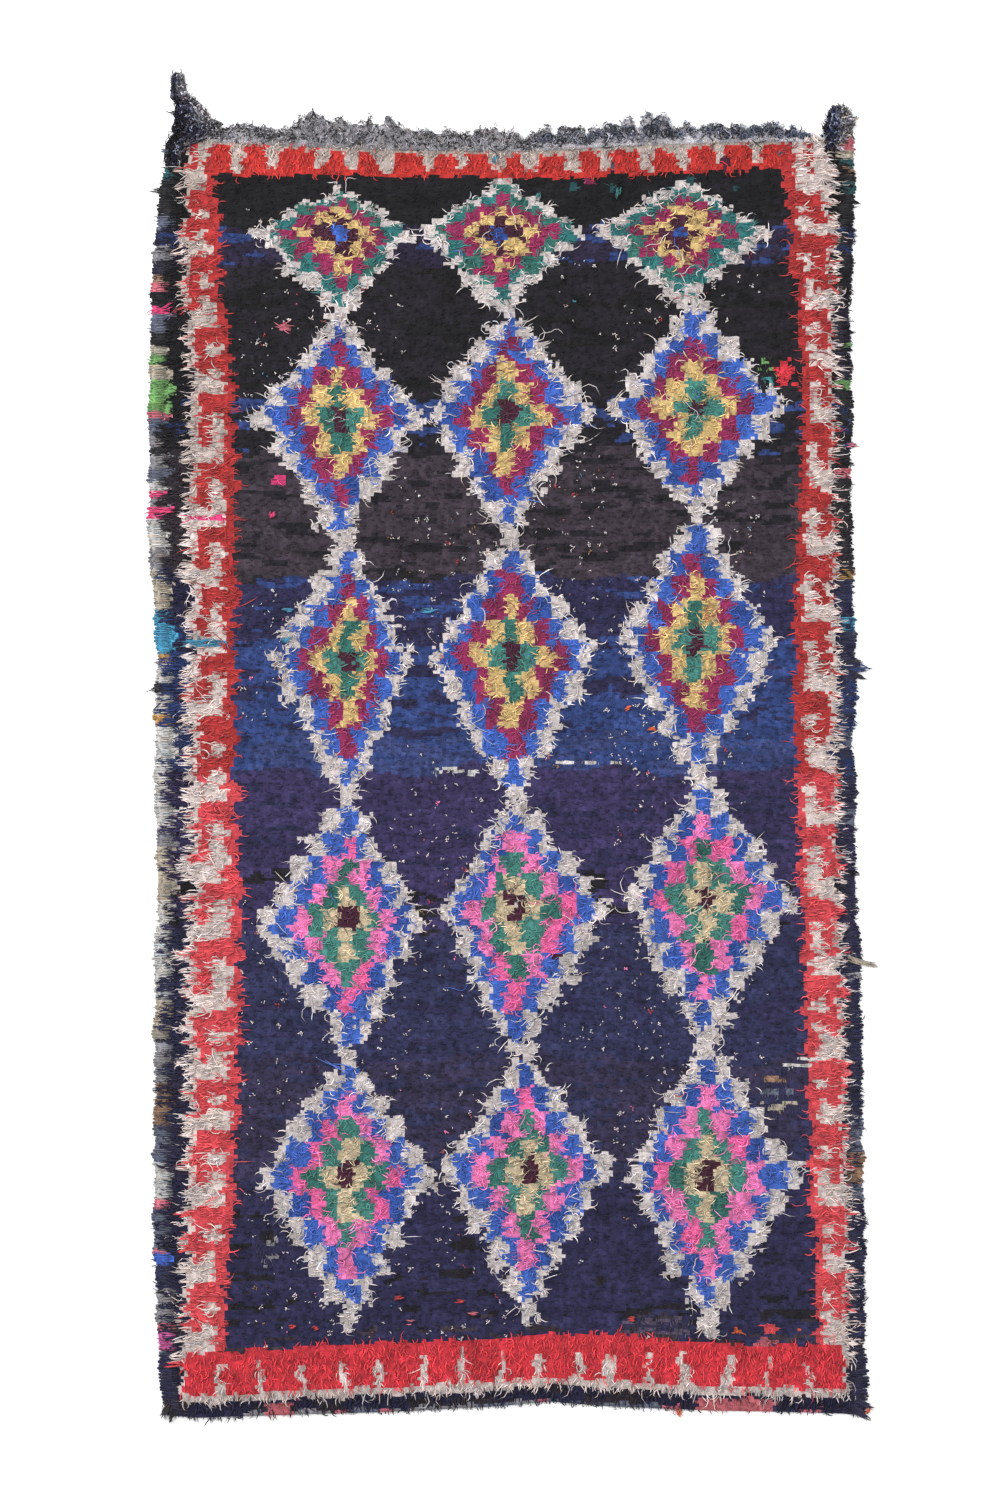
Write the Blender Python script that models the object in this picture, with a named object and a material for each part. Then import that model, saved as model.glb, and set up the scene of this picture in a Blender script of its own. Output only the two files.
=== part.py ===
"""A boucherouite rug lying flat: one knotted rag-pile cloth with locks at its rim, a frayed fringe along its
top end and a gathered tail of warp ends at each top corner. Metres, +Z up, +Y towards the fringed end."""

import math
import random

import bmesh
import bpy
from mathutils import Vector, noise

MM = 0.001

# Driving dimensions
WIDTH = 1330 * MM  # of the cloth, between its selvages
LENGTH = 2420 * MM  # of the cloth, between its ends
HALF_WIDTH = 692 * MM  # to the tips of the side locks
HALF_LENGTH = 1285 * MM  # to the tips of the bottom locks, and of the left tail
GROUND = 5 * MM  # thickness of the bare ground weave at the selvages
PILE = 19 * MM  # thickness through the ground and the pile
SWELL = {"height": 5 * MM, "run": 140 * MM}  # broad swells of the matted pile
TUFTS = {"height": 8 * MM, "run": 62 * MM}  # lumps of a few dozen knots each
SELVAGE = 18 * MM  # bare ground at each edge
RAMP = 34 * MM  # over this width the pile rises to its full height
CELL = 52 * MM  # pitch of the points that carry the lumps
RIM_CUTS = 2  # extra points along each rim edge, so a lock is about 17 mm wide
NARROWEST = 5 * MM  # a wall face narrower than this carries no lock
GAP = 0.3 * MM  # between neighbouring solids

# Side edges of the cloth: along = Y, left and right = X, in millimetres, from the fringed end down
SIDES = [
    {"along": 1150, "left": -640, "right": 662},
    {"along": 1021, "left": -660, "right": 662},
    {"along": 850, "left": -674, "right": 654},
    {"along": 622, "left": -675, "right": 656},
    {"along": 432, "left": -679, "right": 655},
    {"along": 242, "left": -664, "right": 660},
    {"along": 147, "left": -662, "right": 667},
    {"along": 33, "left": -664, "right": 658},
    {"along": -252, "left": -660, "right": 664},
    {"along": -423, "left": -664, "right": 672},
    {"along": -708, "left": -664, "right": 675},
    {"along": -898, "left": -668, "right": 681},
    {"along": -1088, "left": -662, "right": 682},
    {"along": -1262, "left": -648, "right": 684},
]

# End edges of the cloth: share = place across it from left to right, top and bottom = Y, in millimetres
ENDS = [
    {"share": 0.00, "top": 1160, "bottom": -1272},
    {"share": 0.05, "top": 1156, "bottom": -1276},
    {"share": 0.19, "top": 1145, "bottom": -1270},
    {"share": 0.34, "top": 1138, "bottom": -1264},
    {"share": 0.48, "top": 1135, "bottom": -1254},
    {"share": 0.55, "top": 1136, "bottom": -1245},
    {"share": 0.63, "top": 1143, "bottom": -1254},
    {"share": 0.77, "top": 1151, "bottom": -1262},
    {"share": 0.92, "top": 1155, "bottom": -1266},
    {"share": 1.00, "top": 1162, "bottom": -1270},
]

# Locks on each rim: the chance that a place has one, its shortest and longest, and its tip as a share of its root
RIM_LOCKS = {
    "left": {"chance": 0.50, "short": 6 * MM, "long": 16 * MM, "tip": 0.35},
    "right": {"chance": 0.92, "short": 7 * MM, "long": 20 * MM, "tip": 0.30},
    "bottom": {"chance": 0.80, "short": 6 * MM, "long": 14 * MM, "tip": 0.40},
}
LOCK_RINGS = [(0.5, 0.5), (1.0, 1.0)]  # share of a lock's length, and share of its taper reached there
LOCK_SINK = 0.6  # how much of its root's height a lock loses by its tip
LOCK_BEND = 0.35  # sideways bend of a rim lock, as a share of its length

# How far the frayed fringe reaches past the cloth, across = X, in millimetres
FRINGE_REACH = [
    {"across": -530, "reach": 31},
    {"across": -447, "reach": 37},
    {"across": -400, "reach": 44},
    {"across": -375, "reach": 70},
    {"across": -333, "reach": 54},
    {"across": -240, "reach": 70},
    {"across": -175, "reach": 38},
    {"across": -48, "reach": 44},
    {"across": 66, "reach": 41},
    {"across": 151, "reach": 60},
    {"across": 185, "reach": 42},
    {"across": 217, "reach": 66},
    {"across": 265, "reach": 68},
    {"across": 350, "reach": 44},
    {"across": 408, "reach": 47},
    {"across": 540, "reach": 30},
]
FRINGE_STATIONS = (3, 24)  # the stations of the cloth's top edge between which the strip runs
FRINGE_STRIP = 10 * MM
FRINGE_THICK = 8 * MM
FRINGE_CUTS = 7
FRINGE_RAGGED = 0.25  # how far short of the full reach a lock may stop, as a share
FRINGE_TIP = 0.5
FRINGE_BEND = 0.3  # sideways bend of a lock as a share of its length; neighbours bend alike
FRINGE_BEND_RUN = 90 * MM

# The gathered warp ends at the top corners, from the root outwards: centre and half width, in millimetres
LEFT_TAIL = {
    "stations": (0, 3),
    "rows": [
        {"along": 1184, "across": -589, "half": 44},
        {"along": 1204, "across": -602, "half": 32},
        {"along": 1230, "across": -613, "half": 20},
        {"along": 1256, "across": -621, "half": 13},
        {"along": 1278, "across": -623, "half": 10},
    ],
}
RIGHT_TAIL = {
    "stations": (25, 27),
    "rows": [
        {"along": 1178, "across": 634, "half": 25},
        {"along": 1196, "across": 640, "half": 21},
        {"along": 1212, "across": 643, "half": 13},
    ],
}
TAIL_THICK = 12 * MM
TAIL_LUMPS = 14 * MM
TAIL_LOCKS = {"chance": 1, "short": 4 * MM, "long": 9 * MM, "tip": 0.4}

COLOURS = {
    "rug_cloth": (0.045, 0.042, 0.085),
    "top_fringe": (0.21, 0.21, 0.22),
    "corner_tail_left": (0.07, 0.075, 0.09),
    "corner_tail_right": (0.10, 0.11, 0.12),
}

# The four ways that a wall of a solid can look: its outward axis, its sign, and the axis that runs along it
SIDE_AXES = {"left": (0, -1, 1), "right": (0, 1, 1), "bottom": (1, -1, 0), "top": (1, 1, 0)}


def between(rows, key, at, value):
    """The column called value, read between the rows of a table at one place in the column called key."""
    ordered = sorted(rows, key=lambda row: row[key])
    if at <= ordered[0][key]:
        return ordered[0][value]
    for low, high in zip(ordered, ordered[1:]):
        if at <= high[key]:
            share = (at - low[key]) / (high[key] - low[key])
            return low[value] + share * (high[value] - low[value])
    return ordered[-1][value]


def stations(length):
    """Places from 0 to 1 along an edge: narrow steps over the selvage and the ramp, and even ones between them."""
    inner = SELVAGE + RAMP
    count = round((length - 2 * inner) / CELL)
    middle = [inner + (length - 2 * inner) * i / count for i in range(count + 1)]
    places = [0, SELVAGE, *middle, length - SELVAGE, length]
    return [place / length for place in places]


def cloth_point(across, along):
    """The point of the cloth at a share of its width, from the left, and of its length, from the bottom."""
    bottom = between(ENDS, "share", across, "bottom")
    top = between(ENDS, "share", across, "top")
    y = bottom + (top - bottom) * along
    left = between(SIDES, "along", y, "left")
    right = between(SIDES, "along", y, "right")
    return (left + (right - left) * across) * MM, y * MM


def distance_to_edge(x, y):
    """How far a point of the cloth lies from its nearest edge."""
    left = between(SIDES, "along", y / MM, "left") * MM
    right = between(SIDES, "along", y / MM, "right") * MM
    share = (x - left) / (right - left)
    bottom = between(ENDS, "share", share, "bottom") * MM
    top = between(ENDS, "share", share, "top") * MM
    return max(0, min(x - left, right - x, y - bottom, top - y))


def pile_height(x, y):
    """Height of the matted pile: bare ground at the edge, then a rise to lumps of uneven height."""
    share = min(1, max(0, (distance_to_edge(x, y) - SELVAGE) / RAMP))
    rise = PILE - GROUND
    for lumps in (SWELL, TUFTS):
        rise += lumps["height"] * noise.noise(Vector((x, y, lumps["height"])) / lumps["run"])
    return GROUND + rise * share * share * (3 - 2 * share)


def flat_grid(bm, columns, rows, place):
    """A flat sheet of cells whose corner in each column and row lies at place(column, row). Gives its last row."""
    bmesh.ops.create_grid(bm, x_segments=columns, y_segments=rows, size=0.5)
    last_row = [edge for edge in bm.edges if min(vertex.co.y for vertex in edge.verts) > 0.499]
    for vertex in bm.verts:
        column = round((vertex.co.x + 0.5) * columns)
        row = round((vertex.co.y + 0.5) * rows)
        vertex.co.x, vertex.co.y = place(column, row)
    return last_row


def thicken(bm, height):
    """Closes a flat sheet into a solid on the floor, its top at height(x, y)."""
    made = bmesh.ops.extrude_face_region(bm, geom=bm.faces[:], use_keep_orig=True)
    for item in made["geom"]:
        if isinstance(item, bmesh.types.BMVert):
            item.co.z = height(item.co.x, item.co.y)
    bmesh.ops.recalc_face_normals(bm, faces=bm.faces[:])
    crowded = [face for face in bm.faces if len(face.verts) > 4]
    bmesh.ops.poke(bm, faces=crowded)


def walls(bm, side):
    """The upright faces that look out to one side of a solid, in order along it."""
    out_axis, sign, along_axis = SIDE_AXES[side]
    found = [face for face in bm.faces if sign * face.normal[out_axis] > 0.7]
    return sorted(found, key=lambda face: face.calc_center_median()[along_axis])


def pull_lock(bm, face, length, tip, sweep):
    """Pulls one wall face out into a tapering lock of four sides that lies level on the floor."""
    outward = Vector((face.normal.x, face.normal.y, 0)).normalized()
    sideways = Vector((-outward.y, outward.x, 0))
    root = face.calc_center_median()
    offsets = [(vertex.co - root).dot(sideways) for vertex in face.verts]
    heights = [vertex.co.z for vertex in face.verts]
    for reached, taper in LOCK_RINGS:
        face = bmesh.ops.extrude_discrete_faces(bm, faces=[face])["faces"][0]
        middle = root + outward * length * reached + sideways * sweep * reached * reached
        width = 1 - (1 - tip) * taper
        for vertex, offset, height in zip(face.verts, offsets, heights):
            place = middle + sideways * offset * width
            vertex.co = (place.x, place.y, height * (1 - LOCK_SINK * reached))


def comb(bm, faces, tip, length, bend):
    """Pulls locks out of every other one of these faces; length and bend are functions of a face's middle."""
    count = 0
    for face in faces[1::2]:
        middle = face.calc_center_median()
        reach = length(middle)
        wide = max(edge.calc_length() for edge in face.edges) > NARROWEST
        if wide and reach > 0:
            pull_lock(bm, face, reach, tip, bend(middle) * reach)
            count += 1
    return count


def ragged(locks, rng, room=None):
    """A length for each lock between its shortest and longest, or 0 for none, kept within the room it has."""

    def length(middle):
        chosen = rng.random() < locks["chance"]
        wanted = rng.uniform(locks["short"], locks["long"])
        if room is not None:
            wanted = min(wanted, room(middle))
        return wanted if chosen and wanted > locks["short"] / 2 else 0

    return length


def finish(name, bm):
    """The mesh as a named object with its own material."""
    mesh = bpy.data.meshes.new(name)
    bm.to_mesh(mesh)
    bm.free()
    solid = bpy.data.objects.new(name, mesh)
    bpy.context.scene.collection.objects.link(solid)
    material = bpy.data.materials.new(name)
    material.use_nodes = True
    shader = material.node_tree.nodes["Principled BSDF"]
    shader.inputs["Base Color"].default_value = (*COLOURS[name], 1)
    shader.inputs["Roughness"].default_value = 0.95
    shader.inputs["Metallic"].default_value = 0
    mesh.materials.append(material)
    return solid


def cloth(across, along):
    """The rug itself: ground weave and pile in one lumpy slab, with locks at its rim."""
    rng = random.Random(11)
    bm = bmesh.new()
    flat_grid(bm, len(across) - 1, len(along) - 1, lambda i, j: cloth_point(across[i], along[j]))
    rim = [edge for edge in bm.edges if edge.is_boundary]
    bmesh.ops.subdivide_edges(bm, edges=rim, cuts=RIM_CUTS)
    thicken(bm, pile_height)
    room = {
        "left": lambda middle: HALF_WIDTH + middle.x,
        "right": lambda middle: HALF_WIDTH - middle.x,
        "bottom": lambda middle: HALF_LENGTH + middle.y,
    }
    faces = {side: walls(bm, side) for side in RIM_LOCKS}
    for side, locks in RIM_LOCKS.items():
        length = ragged(locks, rng, room[side])
        count = comb(bm, faces[side], locks["tip"], length, lambda middle: rng.uniform(-LOCK_BEND, LOCK_BEND))
        print("rug_cloth", side, "locks", count)
    return finish("rug_cloth", bm)


def top_edge(across, first, last):
    """Points just off the cloth's top edge, one at each station from first to last."""
    points = [cloth_point(share, 1) for share in across[first : last + 1]]
    return [(x, y + GAP) for x, y in points]


def fringe(across):
    """The frayed top end: a narrow strip along the cloth's edge that holds ragged locks."""
    rng = random.Random(23)
    edge = top_edge(across, *FRINGE_STATIONS)
    bm = bmesh.new()
    far_side = flat_grid(bm, len(edge) - 1, 1, lambda i, j: (edge[i][0], edge[i][1] + j * FRINGE_STRIP))
    bmesh.ops.subdivide_edges(bm, edges=far_side, cuts=FRINGE_CUTS)
    thicken(bm, lambda x, y: FRINGE_THICK)

    def length(middle):
        full = between(FRINGE_REACH, "across", middle.x / MM, "reach") * MM - FRINGE_STRIP
        return full * (1 - rng.uniform(0, FRINGE_RAGGED))

    def bend(middle):
        return FRINGE_BEND * noise.noise(Vector((middle.x / FRINGE_BEND_RUN, 0, 0)))

    print("top_fringe locks", comb(bm, walls(bm, "top"), FRINGE_TIP, length, bend))
    return finish("top_fringe", bm)


def tail(name, across, form, seed):
    """Warp ends drawn together at a corner: a tapering lump with short locks round it."""
    rng = random.Random(seed)
    edge = top_edge(across, *form["stations"])
    columns = len(edge) - 1
    bm = bmesh.new()

    def place(column, row):
        if row == 0:
            return edge[column]
        station = form["rows"][row - 1]
        offset = (2 * column / columns - 1) * station["half"]
        return (station["across"] + offset) * MM, station["along"] * MM

    flat_grid(bm, columns, len(form["rows"]), place)
    thicken(bm, lambda x, y: TAIL_THICK * (1 + 0.3 * noise.noise(Vector((x, y, 0)) / TAIL_LUMPS)))
    faces = [walls(bm, side) for side in ("left", "right", "top")]
    length = ragged(TAIL_LOCKS, rng)
    count = sum(comb(bm, found, TAIL_LOCKS["tip"], length, lambda middle: 0) for found in faces)
    print(name, "locks", count)
    return finish(name, bm)


def main():
    for old in list(bpy.data.objects):
        bpy.data.objects.remove(old)
    across = stations(WIDTH)
    along = stations(LENGTH)
    solids = [
        cloth(across, along),
        fringe(across),
        tail("corner_tail_left", across, LEFT_TAIL, 5),
        tail("corner_tail_right", across, RIGHT_TAIL, 7),
    ]
    for solid in solids:
        solid.data.calc_loop_triangles()
        print(solid.name, "triangles", len(solid.data.loop_triangles))


main()
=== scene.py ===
# %% [markdown]
# A knotted rag rug is woven on an upright loom. Wefts of any old yarn are beaten down over cotton warps,
# and between them the weaver ties rows of knots whose cut ends make the pile. This lesson builds such a rug
# flat on the floor: first its ground with a colour for every knot, then tens of thousands of loose yarn
# ends. The solid that carries it is already made and is loaded as a fixed frame, so every piece is fitted
# to it.

# %% Load the frame
import math

import bmesh
import bpy
import numpy as np
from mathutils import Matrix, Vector
from mathutils.bvhtree import BVHTree


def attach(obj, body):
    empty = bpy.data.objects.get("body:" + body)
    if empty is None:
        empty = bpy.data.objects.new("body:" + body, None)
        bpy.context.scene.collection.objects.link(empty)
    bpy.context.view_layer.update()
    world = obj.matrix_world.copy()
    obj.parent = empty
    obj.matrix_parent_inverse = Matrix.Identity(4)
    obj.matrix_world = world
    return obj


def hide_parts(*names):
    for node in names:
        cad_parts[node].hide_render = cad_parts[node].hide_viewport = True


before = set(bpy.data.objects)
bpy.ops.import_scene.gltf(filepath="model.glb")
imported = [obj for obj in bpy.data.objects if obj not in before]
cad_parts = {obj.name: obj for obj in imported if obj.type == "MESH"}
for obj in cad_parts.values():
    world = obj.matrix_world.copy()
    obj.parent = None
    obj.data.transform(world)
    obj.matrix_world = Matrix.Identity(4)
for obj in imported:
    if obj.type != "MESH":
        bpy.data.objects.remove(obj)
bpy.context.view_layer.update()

MM = 0.001
rng = np.random.default_rng(43)

# %% [markdown]
# The rug isn't a true rectangle: a village loom lets the edges wander by a few centimetres. The outline is
# kept as two short tables of real sizes, one for the side edges and one for the ends. Every other place on
# the cloth is then a share across and a share along, so the pattern follows the weave as it drifts.


# %% The outline of the cloth
def records(columns, *lines):
    """A table as a list of records: columns holds the names, and each line the values under them."""
    names = columns.split()
    return [dict(zip(names, line)) for line in lines]


SIDES = records(  # along = Y, left and right = X, in millimetres
    "along left right",
    (1150, -640, 662),
    (1021, -660, 662),
    (850, -674, 654),
    (622, -675, 656),
    (432, -679, 655),
    (242, -664, 660),
    (147, -662, 667),
    (33, -664, 658),
    (-252, -660, 664),
    (-423, -664, 672),
    (-708, -664, 675),
    (-898, -668, 681),
    (-1088, -662, 682),
    (-1262, -648, 684),
)
ENDS = records(  # share = place across from left to right, top and bottom = Y, in millimetres
    "share top bottom",
    (0.00, 1160, -1272),
    (0.05, 1156, -1276),
    (0.19, 1145, -1270),
    (0.34, 1138, -1264),
    (0.48, 1135, -1254),
    (0.55, 1136, -1245),
    (0.63, 1143, -1254),
    (0.77, 1151, -1262),
    (0.92, 1155, -1266),
    (1.00, 1162, -1270),
)
CLOTH_WIDTH = 1330 * MM
CLOTH_LENGTH = 2420 * MM


def read(rows, key, at, value):
    """The column called value, read between the rows of a table wherever the column called key is at."""
    ordered = sorted(rows, key=lambda row: row[key])
    return np.interp(at, [row[key] for row in ordered], [row[value] for row in ordered])


def cloth_point(across, along):
    """X and Y of the cloth in millimetres, at a share across from the left and a share up from the bottom."""
    bottom = read(ENDS, "share", across, "bottom")
    y = bottom + (read(ENDS, "share", across, "top") - bottom) * along
    left = read(SIDES, "along", y, "left")
    return left + (read(SIDES, "along", y, "right") - left) * across, y


print("corners of the cloth in mm:", [cloth_point(a, b) for a in (0, 1) for b in (0, 1)])

# %% [markdown]
# Handwork is never even, so many things below are nudged by noise. This smooth noise works on whole arrays
# at once: it gives each corner of a coarse net its own chance value and blends between them. The numbers
# that the places are multiplied by mean nothing, and only have to be unlike one another. In the calls
# below, a factor in front says how far something strays, size says how wide the swells are, and seed only
# keeps two noises apart.

# %% Smooth noise on arrays
SCRAMBLE = 43758.5453  # past its point, a sine times this is as good as chance


def smooth_noise(x, y, size, seed):
    """Smooth chance values from -1 to 1 whose swells are about as wide as size."""
    net_x, net_y = np.floor(x / size), np.floor(y / size)
    blend_x, blend_y = x / size - net_x, y / size - net_y
    blend_x = blend_x * blend_x * (3 - 2 * blend_x)
    blend_y = blend_y * blend_y * (3 - 2 * blend_y)

    def corner(i, j):
        mixed = np.sin((net_x + i) * 127.1 + (net_y + j) * 311.7 + seed * 74.7) * SCRAMBLE
        return 2 * (mixed - np.floor(mixed)) - 1

    low = corner(0, 0) * (1 - blend_x) + corner(1, 0) * blend_x
    high = corner(0, 1) * (1 - blend_x) + corner(1, 1) * blend_x
    return low * (1 - blend_y) + high * blend_y


def knot_chance(column, row, seed):
    """One chance value from 0 to 1 for each knot."""
    mixed = np.sin(column * 12.9898 + row * 78.233 + seed * 37.7) * SCRAMBLE
    return mixed - np.floor(mixed)


print("noise sample:", smooth_noise(np.array([10.0, 25.0]), np.array([5.0, 80.0]), 20, 1).round(3))

# %% [markdown]
# The yarns are old wools and unravelled knitwear. Each gets one name and one colour as the eye reads it,
# and shaders want light in straight proportion, so a helper turns the first into the second.

# %% The yarns
YARNS = {
    "ivory": (0.867, 0.829, 0.823),
    "warm_ivory": (0.890, 0.828, 0.810),
    "dusty_ivory": (0.800, 0.738, 0.712),
    "old_ivory": (0.737, 0.684, 0.650),
    "red": (0.738, 0.220, 0.224),
    "scarlet": (0.804, 0.220, 0.201),
    "crimson": (0.882, 0.236, 0.287),
    "coral": (0.872, 0.310, 0.343),
    "blue": (0.275, 0.427, 0.787),
    "magenta": (0.639, 0.199, 0.388),
    "pink": (1.000, 0.536, 0.780),
    "deep_pink": (0.968, 0.440, 0.680),
    "yellow": (0.908, 0.781, 0.532),
    "straw": (0.868, 0.792, 0.660),
    "green": (0.299, 0.563, 0.526),
    "teal": (0.214, 0.491, 0.495),
    "deep_green": (0.235, 0.480, 0.444),
    "petrol": (0.150, 0.310, 0.330),
    "deep_blue": (0.226, 0.364, 0.697),
    "wine": (0.561, 0.180, 0.349),
    "maroon": (0.310, 0.139, 0.224),
    "jet": (0.082, 0.078, 0.092),
    "black": (0.109, 0.101, 0.125),
    "indigo": (0.139, 0.120, 0.196),
    "charcoal": (0.201, 0.172, 0.205),
    "navy": (0.163, 0.168, 0.286),
    "mid_navy": (0.162, 0.222, 0.405),
    "bright_navy": (0.194, 0.231, 0.395),
    "purple": (0.196, 0.169, 0.304),
    "dusk": (0.177, 0.158, 0.253),
    "night": (0.151, 0.144, 0.258),
    "grey": (0.489, 0.480, 0.499),
    "slate": (0.357, 0.376, 0.442),
    "white": (0.679, 0.669, 0.660),
    "cream": (0.622, 0.584, 0.527),
    "turquoise": (0.234, 0.518, 0.641),
    "ochre": (0.641, 0.489, 0.281),
    "tan": (0.518, 0.404, 0.328),
    "grass": (0.395, 0.565, 0.338),
    "rose": (0.736, 0.395, 0.452),
    "hot_pink": (0.849, 0.253, 0.471),
    "orchid": (0.700, 0.330, 0.540),
    "orange": (0.830, 0.376, 0.224),
    "kilim": (0.655, 0.340, 0.372),
    "worn": (0.300, 0.265, 0.335),
}
YARN_NAMES = list(YARNS)
IVORIES = ["ivory", "warm_ivory", "dusty_ivory", "old_ivory"]


def linear(colour):
    """Light in straight proportion for a colour as the eye reads it."""
    colour = np.asarray(colour, float)
    return np.where(colour <= 0.04045, colour / 12.92, ((colour + 0.055) / 1.055) ** 2.4)


YARN_LIGHT = np.array([linear(YARNS[name]) for name in YARN_NAMES])


def yarn(name):
    """The number of a yarn in the palette."""
    return YARN_NAMES.index(name)


print(len(YARNS), "yarns")

# %% [markdown]
# The middle of the rug was knotted with whatever dark yarn was at hand, so its colour changes in bands from
# row to row. Weavers call this abrash. Fifteen stepped lozenges stand on it, in five rows of three. A
# lozenge is a very old and simple figure: count the steps across and the steps along from its centre, add
# them, and the sum says which ring of colour a knot belongs to.

# %% The field and its lozenges
ABRASH = records(  # from this Y down to the next, in millimetres; much is how often the fleck yarn shows
    "from yarn fleck much",
    (1300, "jet", "black", 0.15),
    (993, "indigo", "mid_navy", 0.25),
    (922, "black", "jet", 0.30),
    (670, "black", "mid_navy", 0.35),
    (565, "charcoal", "black", 0.30),
    (322, "night", "mid_navy", 0.28),
    (204, "mid_navy", "night", 0.30),
    (24, "bright_navy", "mid_navy", 0.40),
    (-43, "purple", "night", 0.30),
    (-233, "purple", "black", 0.35),
    (-347, "navy", "night", 0.30),
    (-590, "dusk", "navy", 0.35),
    (-822, "night", "black", 0.14),
    (-1050, "night", "black", 0.30),
    (-1094, "night", "charcoal", 0.25),
)
KNOT_WIDE = 7  # millimetres across
ROW_TALL = 12  # millimetres along, with the wefts between two rows
RING_YARNS = {  # from the centre out
    "top": ["blue", "maroon", "yellow", "magenta", "teal", "ivory"],
    "upper": ["maroon", "green", "yellow", "magenta", "blue", "ivory"],
    "lower": ["maroon", "straw", "green", "pink", "blue", "ivory"],
}
LOZENGES = records(  # centre, side tips, and the ends that it shares with its neighbours, in millimetres
    "rings x y left right top bottom",
    ("top", -313, 981, -487, -174, 1067, 818),
    ("top", -10, 985, -164, 155, 1071, 835),
    ("top", 332, 983, 176, 503, 1073, 845),
    ("upper", -313, 630, -480, -161, 818, 394),
    ("upper", 3, 636, -147, 172, 835, 402),
    ("upper", 358, 647, 197, 539, 839, 442),
    ("upper", -299, 168, -453, -174, 394, -100),
    ("upper", 10, 176, -147, 172, 402, -100),
    ("upper", 362, 206, 214, 518, 442, -60),
    ("lower", -299, -326, -474, -155, -100, -588),
    ("lower", 18, -303, -124, 204, -100, -582),
    ("lower", 379, -284, 225, 552, -60, -561),
    ("lower", -299, -816, -470, -138, -588, -1089),
    ("lower", 41, -801, -123, 200, -582, -1072),
    ("lower", 381, -816, 229, 563, -561, -1093),
)
RINGS = 5  # rings round the centre block
WANDER = 10  # how far a block's edge strays, in millimetres
ROW_SHIFT = 7  # how far one row of knots may start before or after the next
WORN_CORNER = 5.66  # the outer blocks lose their corners past this many steps
MATES = {"teal": "green", "green": "deep_green", "blue": "deep_blue", "pink": "deep_pink", "magenta": "wine"}
MATE_SHARE = {"teal": 0.4, "green": 0.35, "blue": 0.3, "pink": 0.3, "magenta": 0.25}


def field_yarn(x, y):
    """The dark yarn of each row, with ragged ends where one band meets the next."""
    edge = y + 12 * smooth_noise(x, 0 * y, 70, 3) + 9 * smooth_noise(x / 3, y, 11, 4)
    flecks = 0.7 * smooth_noise(x / 6, y, 14, 71) + 0.5 * smooth_noise(x / 2.5, y, 9, 72)
    found = np.full(np.shape(x), yarn("black"))
    for band in ABRASH:
        dye = np.where(flecks > 0.75 - 1.5 * band["much"], yarn(band["fleck"]), yarn(band["yarn"]))
        found = np.where(edge < band["from"], dye, found)
    return found


def lozenge_yarn(x, y):
    """The yarn of the lozenge that covers each point, or -1 on the plain field."""
    fray = 0.5 * smooth_noise(x, y, 9, 8) + 0.34 * smooth_noise(x, y, 21, 9)
    row = np.floor(y / ROW_TALL)
    x = x + WANDER * smooth_noise(x, y, 34, 5) + 6 * smooth_noise(x, y, 10, 6)
    x = x + ROW_SHIFT * smooth_noise(x / 3, row * 40, 14, 16)
    y = y + WANDER * smooth_noise(x, y, 30, 7) + 6 * smooth_noise(x, y, 12, 10)
    found = np.full(np.shape(x), -1)
    for one in LOZENGES:
        wide = np.where(x < one["x"], one["x"] - one["left"], one["right"] - one["x"]) / (RINGS + 0.5)
        tall = np.where(y > one["y"], one["top"] - one["y"], one["y"] - one["bottom"]) / RINGS
        steps = np.round(np.abs(x - one["x"]) / wide) + np.round(np.abs(y - one["y"]) / tall)
        names = np.array([yarn(name) for name in RING_YARNS[one["rings"]]])
        straight = np.abs(x - one["x"]) / wide + np.abs(y - one["y"]) / tall
        inside = (steps <= RINGS) & (straight < WORN_CORNER + fray)
        chosen = names[np.clip(steps, 0, RINGS).astype(int)]
        block_x, block_y = np.round((x - one["x"]) / wide), np.round((y - one["y"]) / tall)
        chance = knot_chance(block_x + one["x"], block_y + one["y"], 22)
        for name, mate in MATES.items():
            chosen = np.where((chosen == yarn(name)) & (chance < MATE_SHARE[name]), yarn(mate), chosen)
        found = np.where(inside, chosen, found)
    return found


print(len(LOZENGES), "lozenges of", RINGS + 1, "rings")

# %% [markdown]
# Round the field runs a band of keys: red bars with ivory notches at the sides, and ivory teeth in red
# along the ends. Outside them lies a thin ivory line, then dark locks over the bare selvage. Zones are
# given as shares of the border's width, so they widen and narrow with it as the weave drifts. This step
# only lists the sizes, so that they can be read and changed in one place.

# %% The sizes of the border
FIELD_SIDES = records(  # along = Y, left and right = X, in millimetres
    "along left right",
    (1060, -552, 528),
    (850, -536, 553),
    (660, -513, 567),
    (470, -514, 558),
    (280, -514, 548),
    (-100, -512, 556),
    (-290, -506, 563),
    (-480, -504, 573),
    (-860, -518, 584),
    (-1050, -534, 592),
)
FIELD_ENDS = records(  # across = X, top and bottom = Y, in millimetres
    "across top bottom",
    (-520, 1087, -1147),
    (-10, 1083, -1120),
    (123, 1085, -1109),
    (370, 1094, -1133),
    (470, 1101, -1136),
    (560, 1103, -1139),
)
LEFT_KEYS = [  # where each key starts, from the top down, in millimetres
    1218, 1057, 938, 799, 675, 542, 417, 307, 178, 54, -105, -254, -364, -501, -630, -729, -871, -1019,
]
RIGHT_KEYS = [
    1185, 1057, 972, 835, 723, 615, 489, 364, 238, 109, -41, -149, -290, -432, -592, -715, -867, -998,
]
TOP_TEETH = [-580, -510, -442, -354, -294, -229, -147, -83, -14, 48, 123, 189, 265, 333, 408, 478, 548]
BOTTOM_TEETH = [-542, -468, -390, -311, -238, -159, -81, -5, 64, 143, 200, 275, 339, 423, 499, 577]
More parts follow.
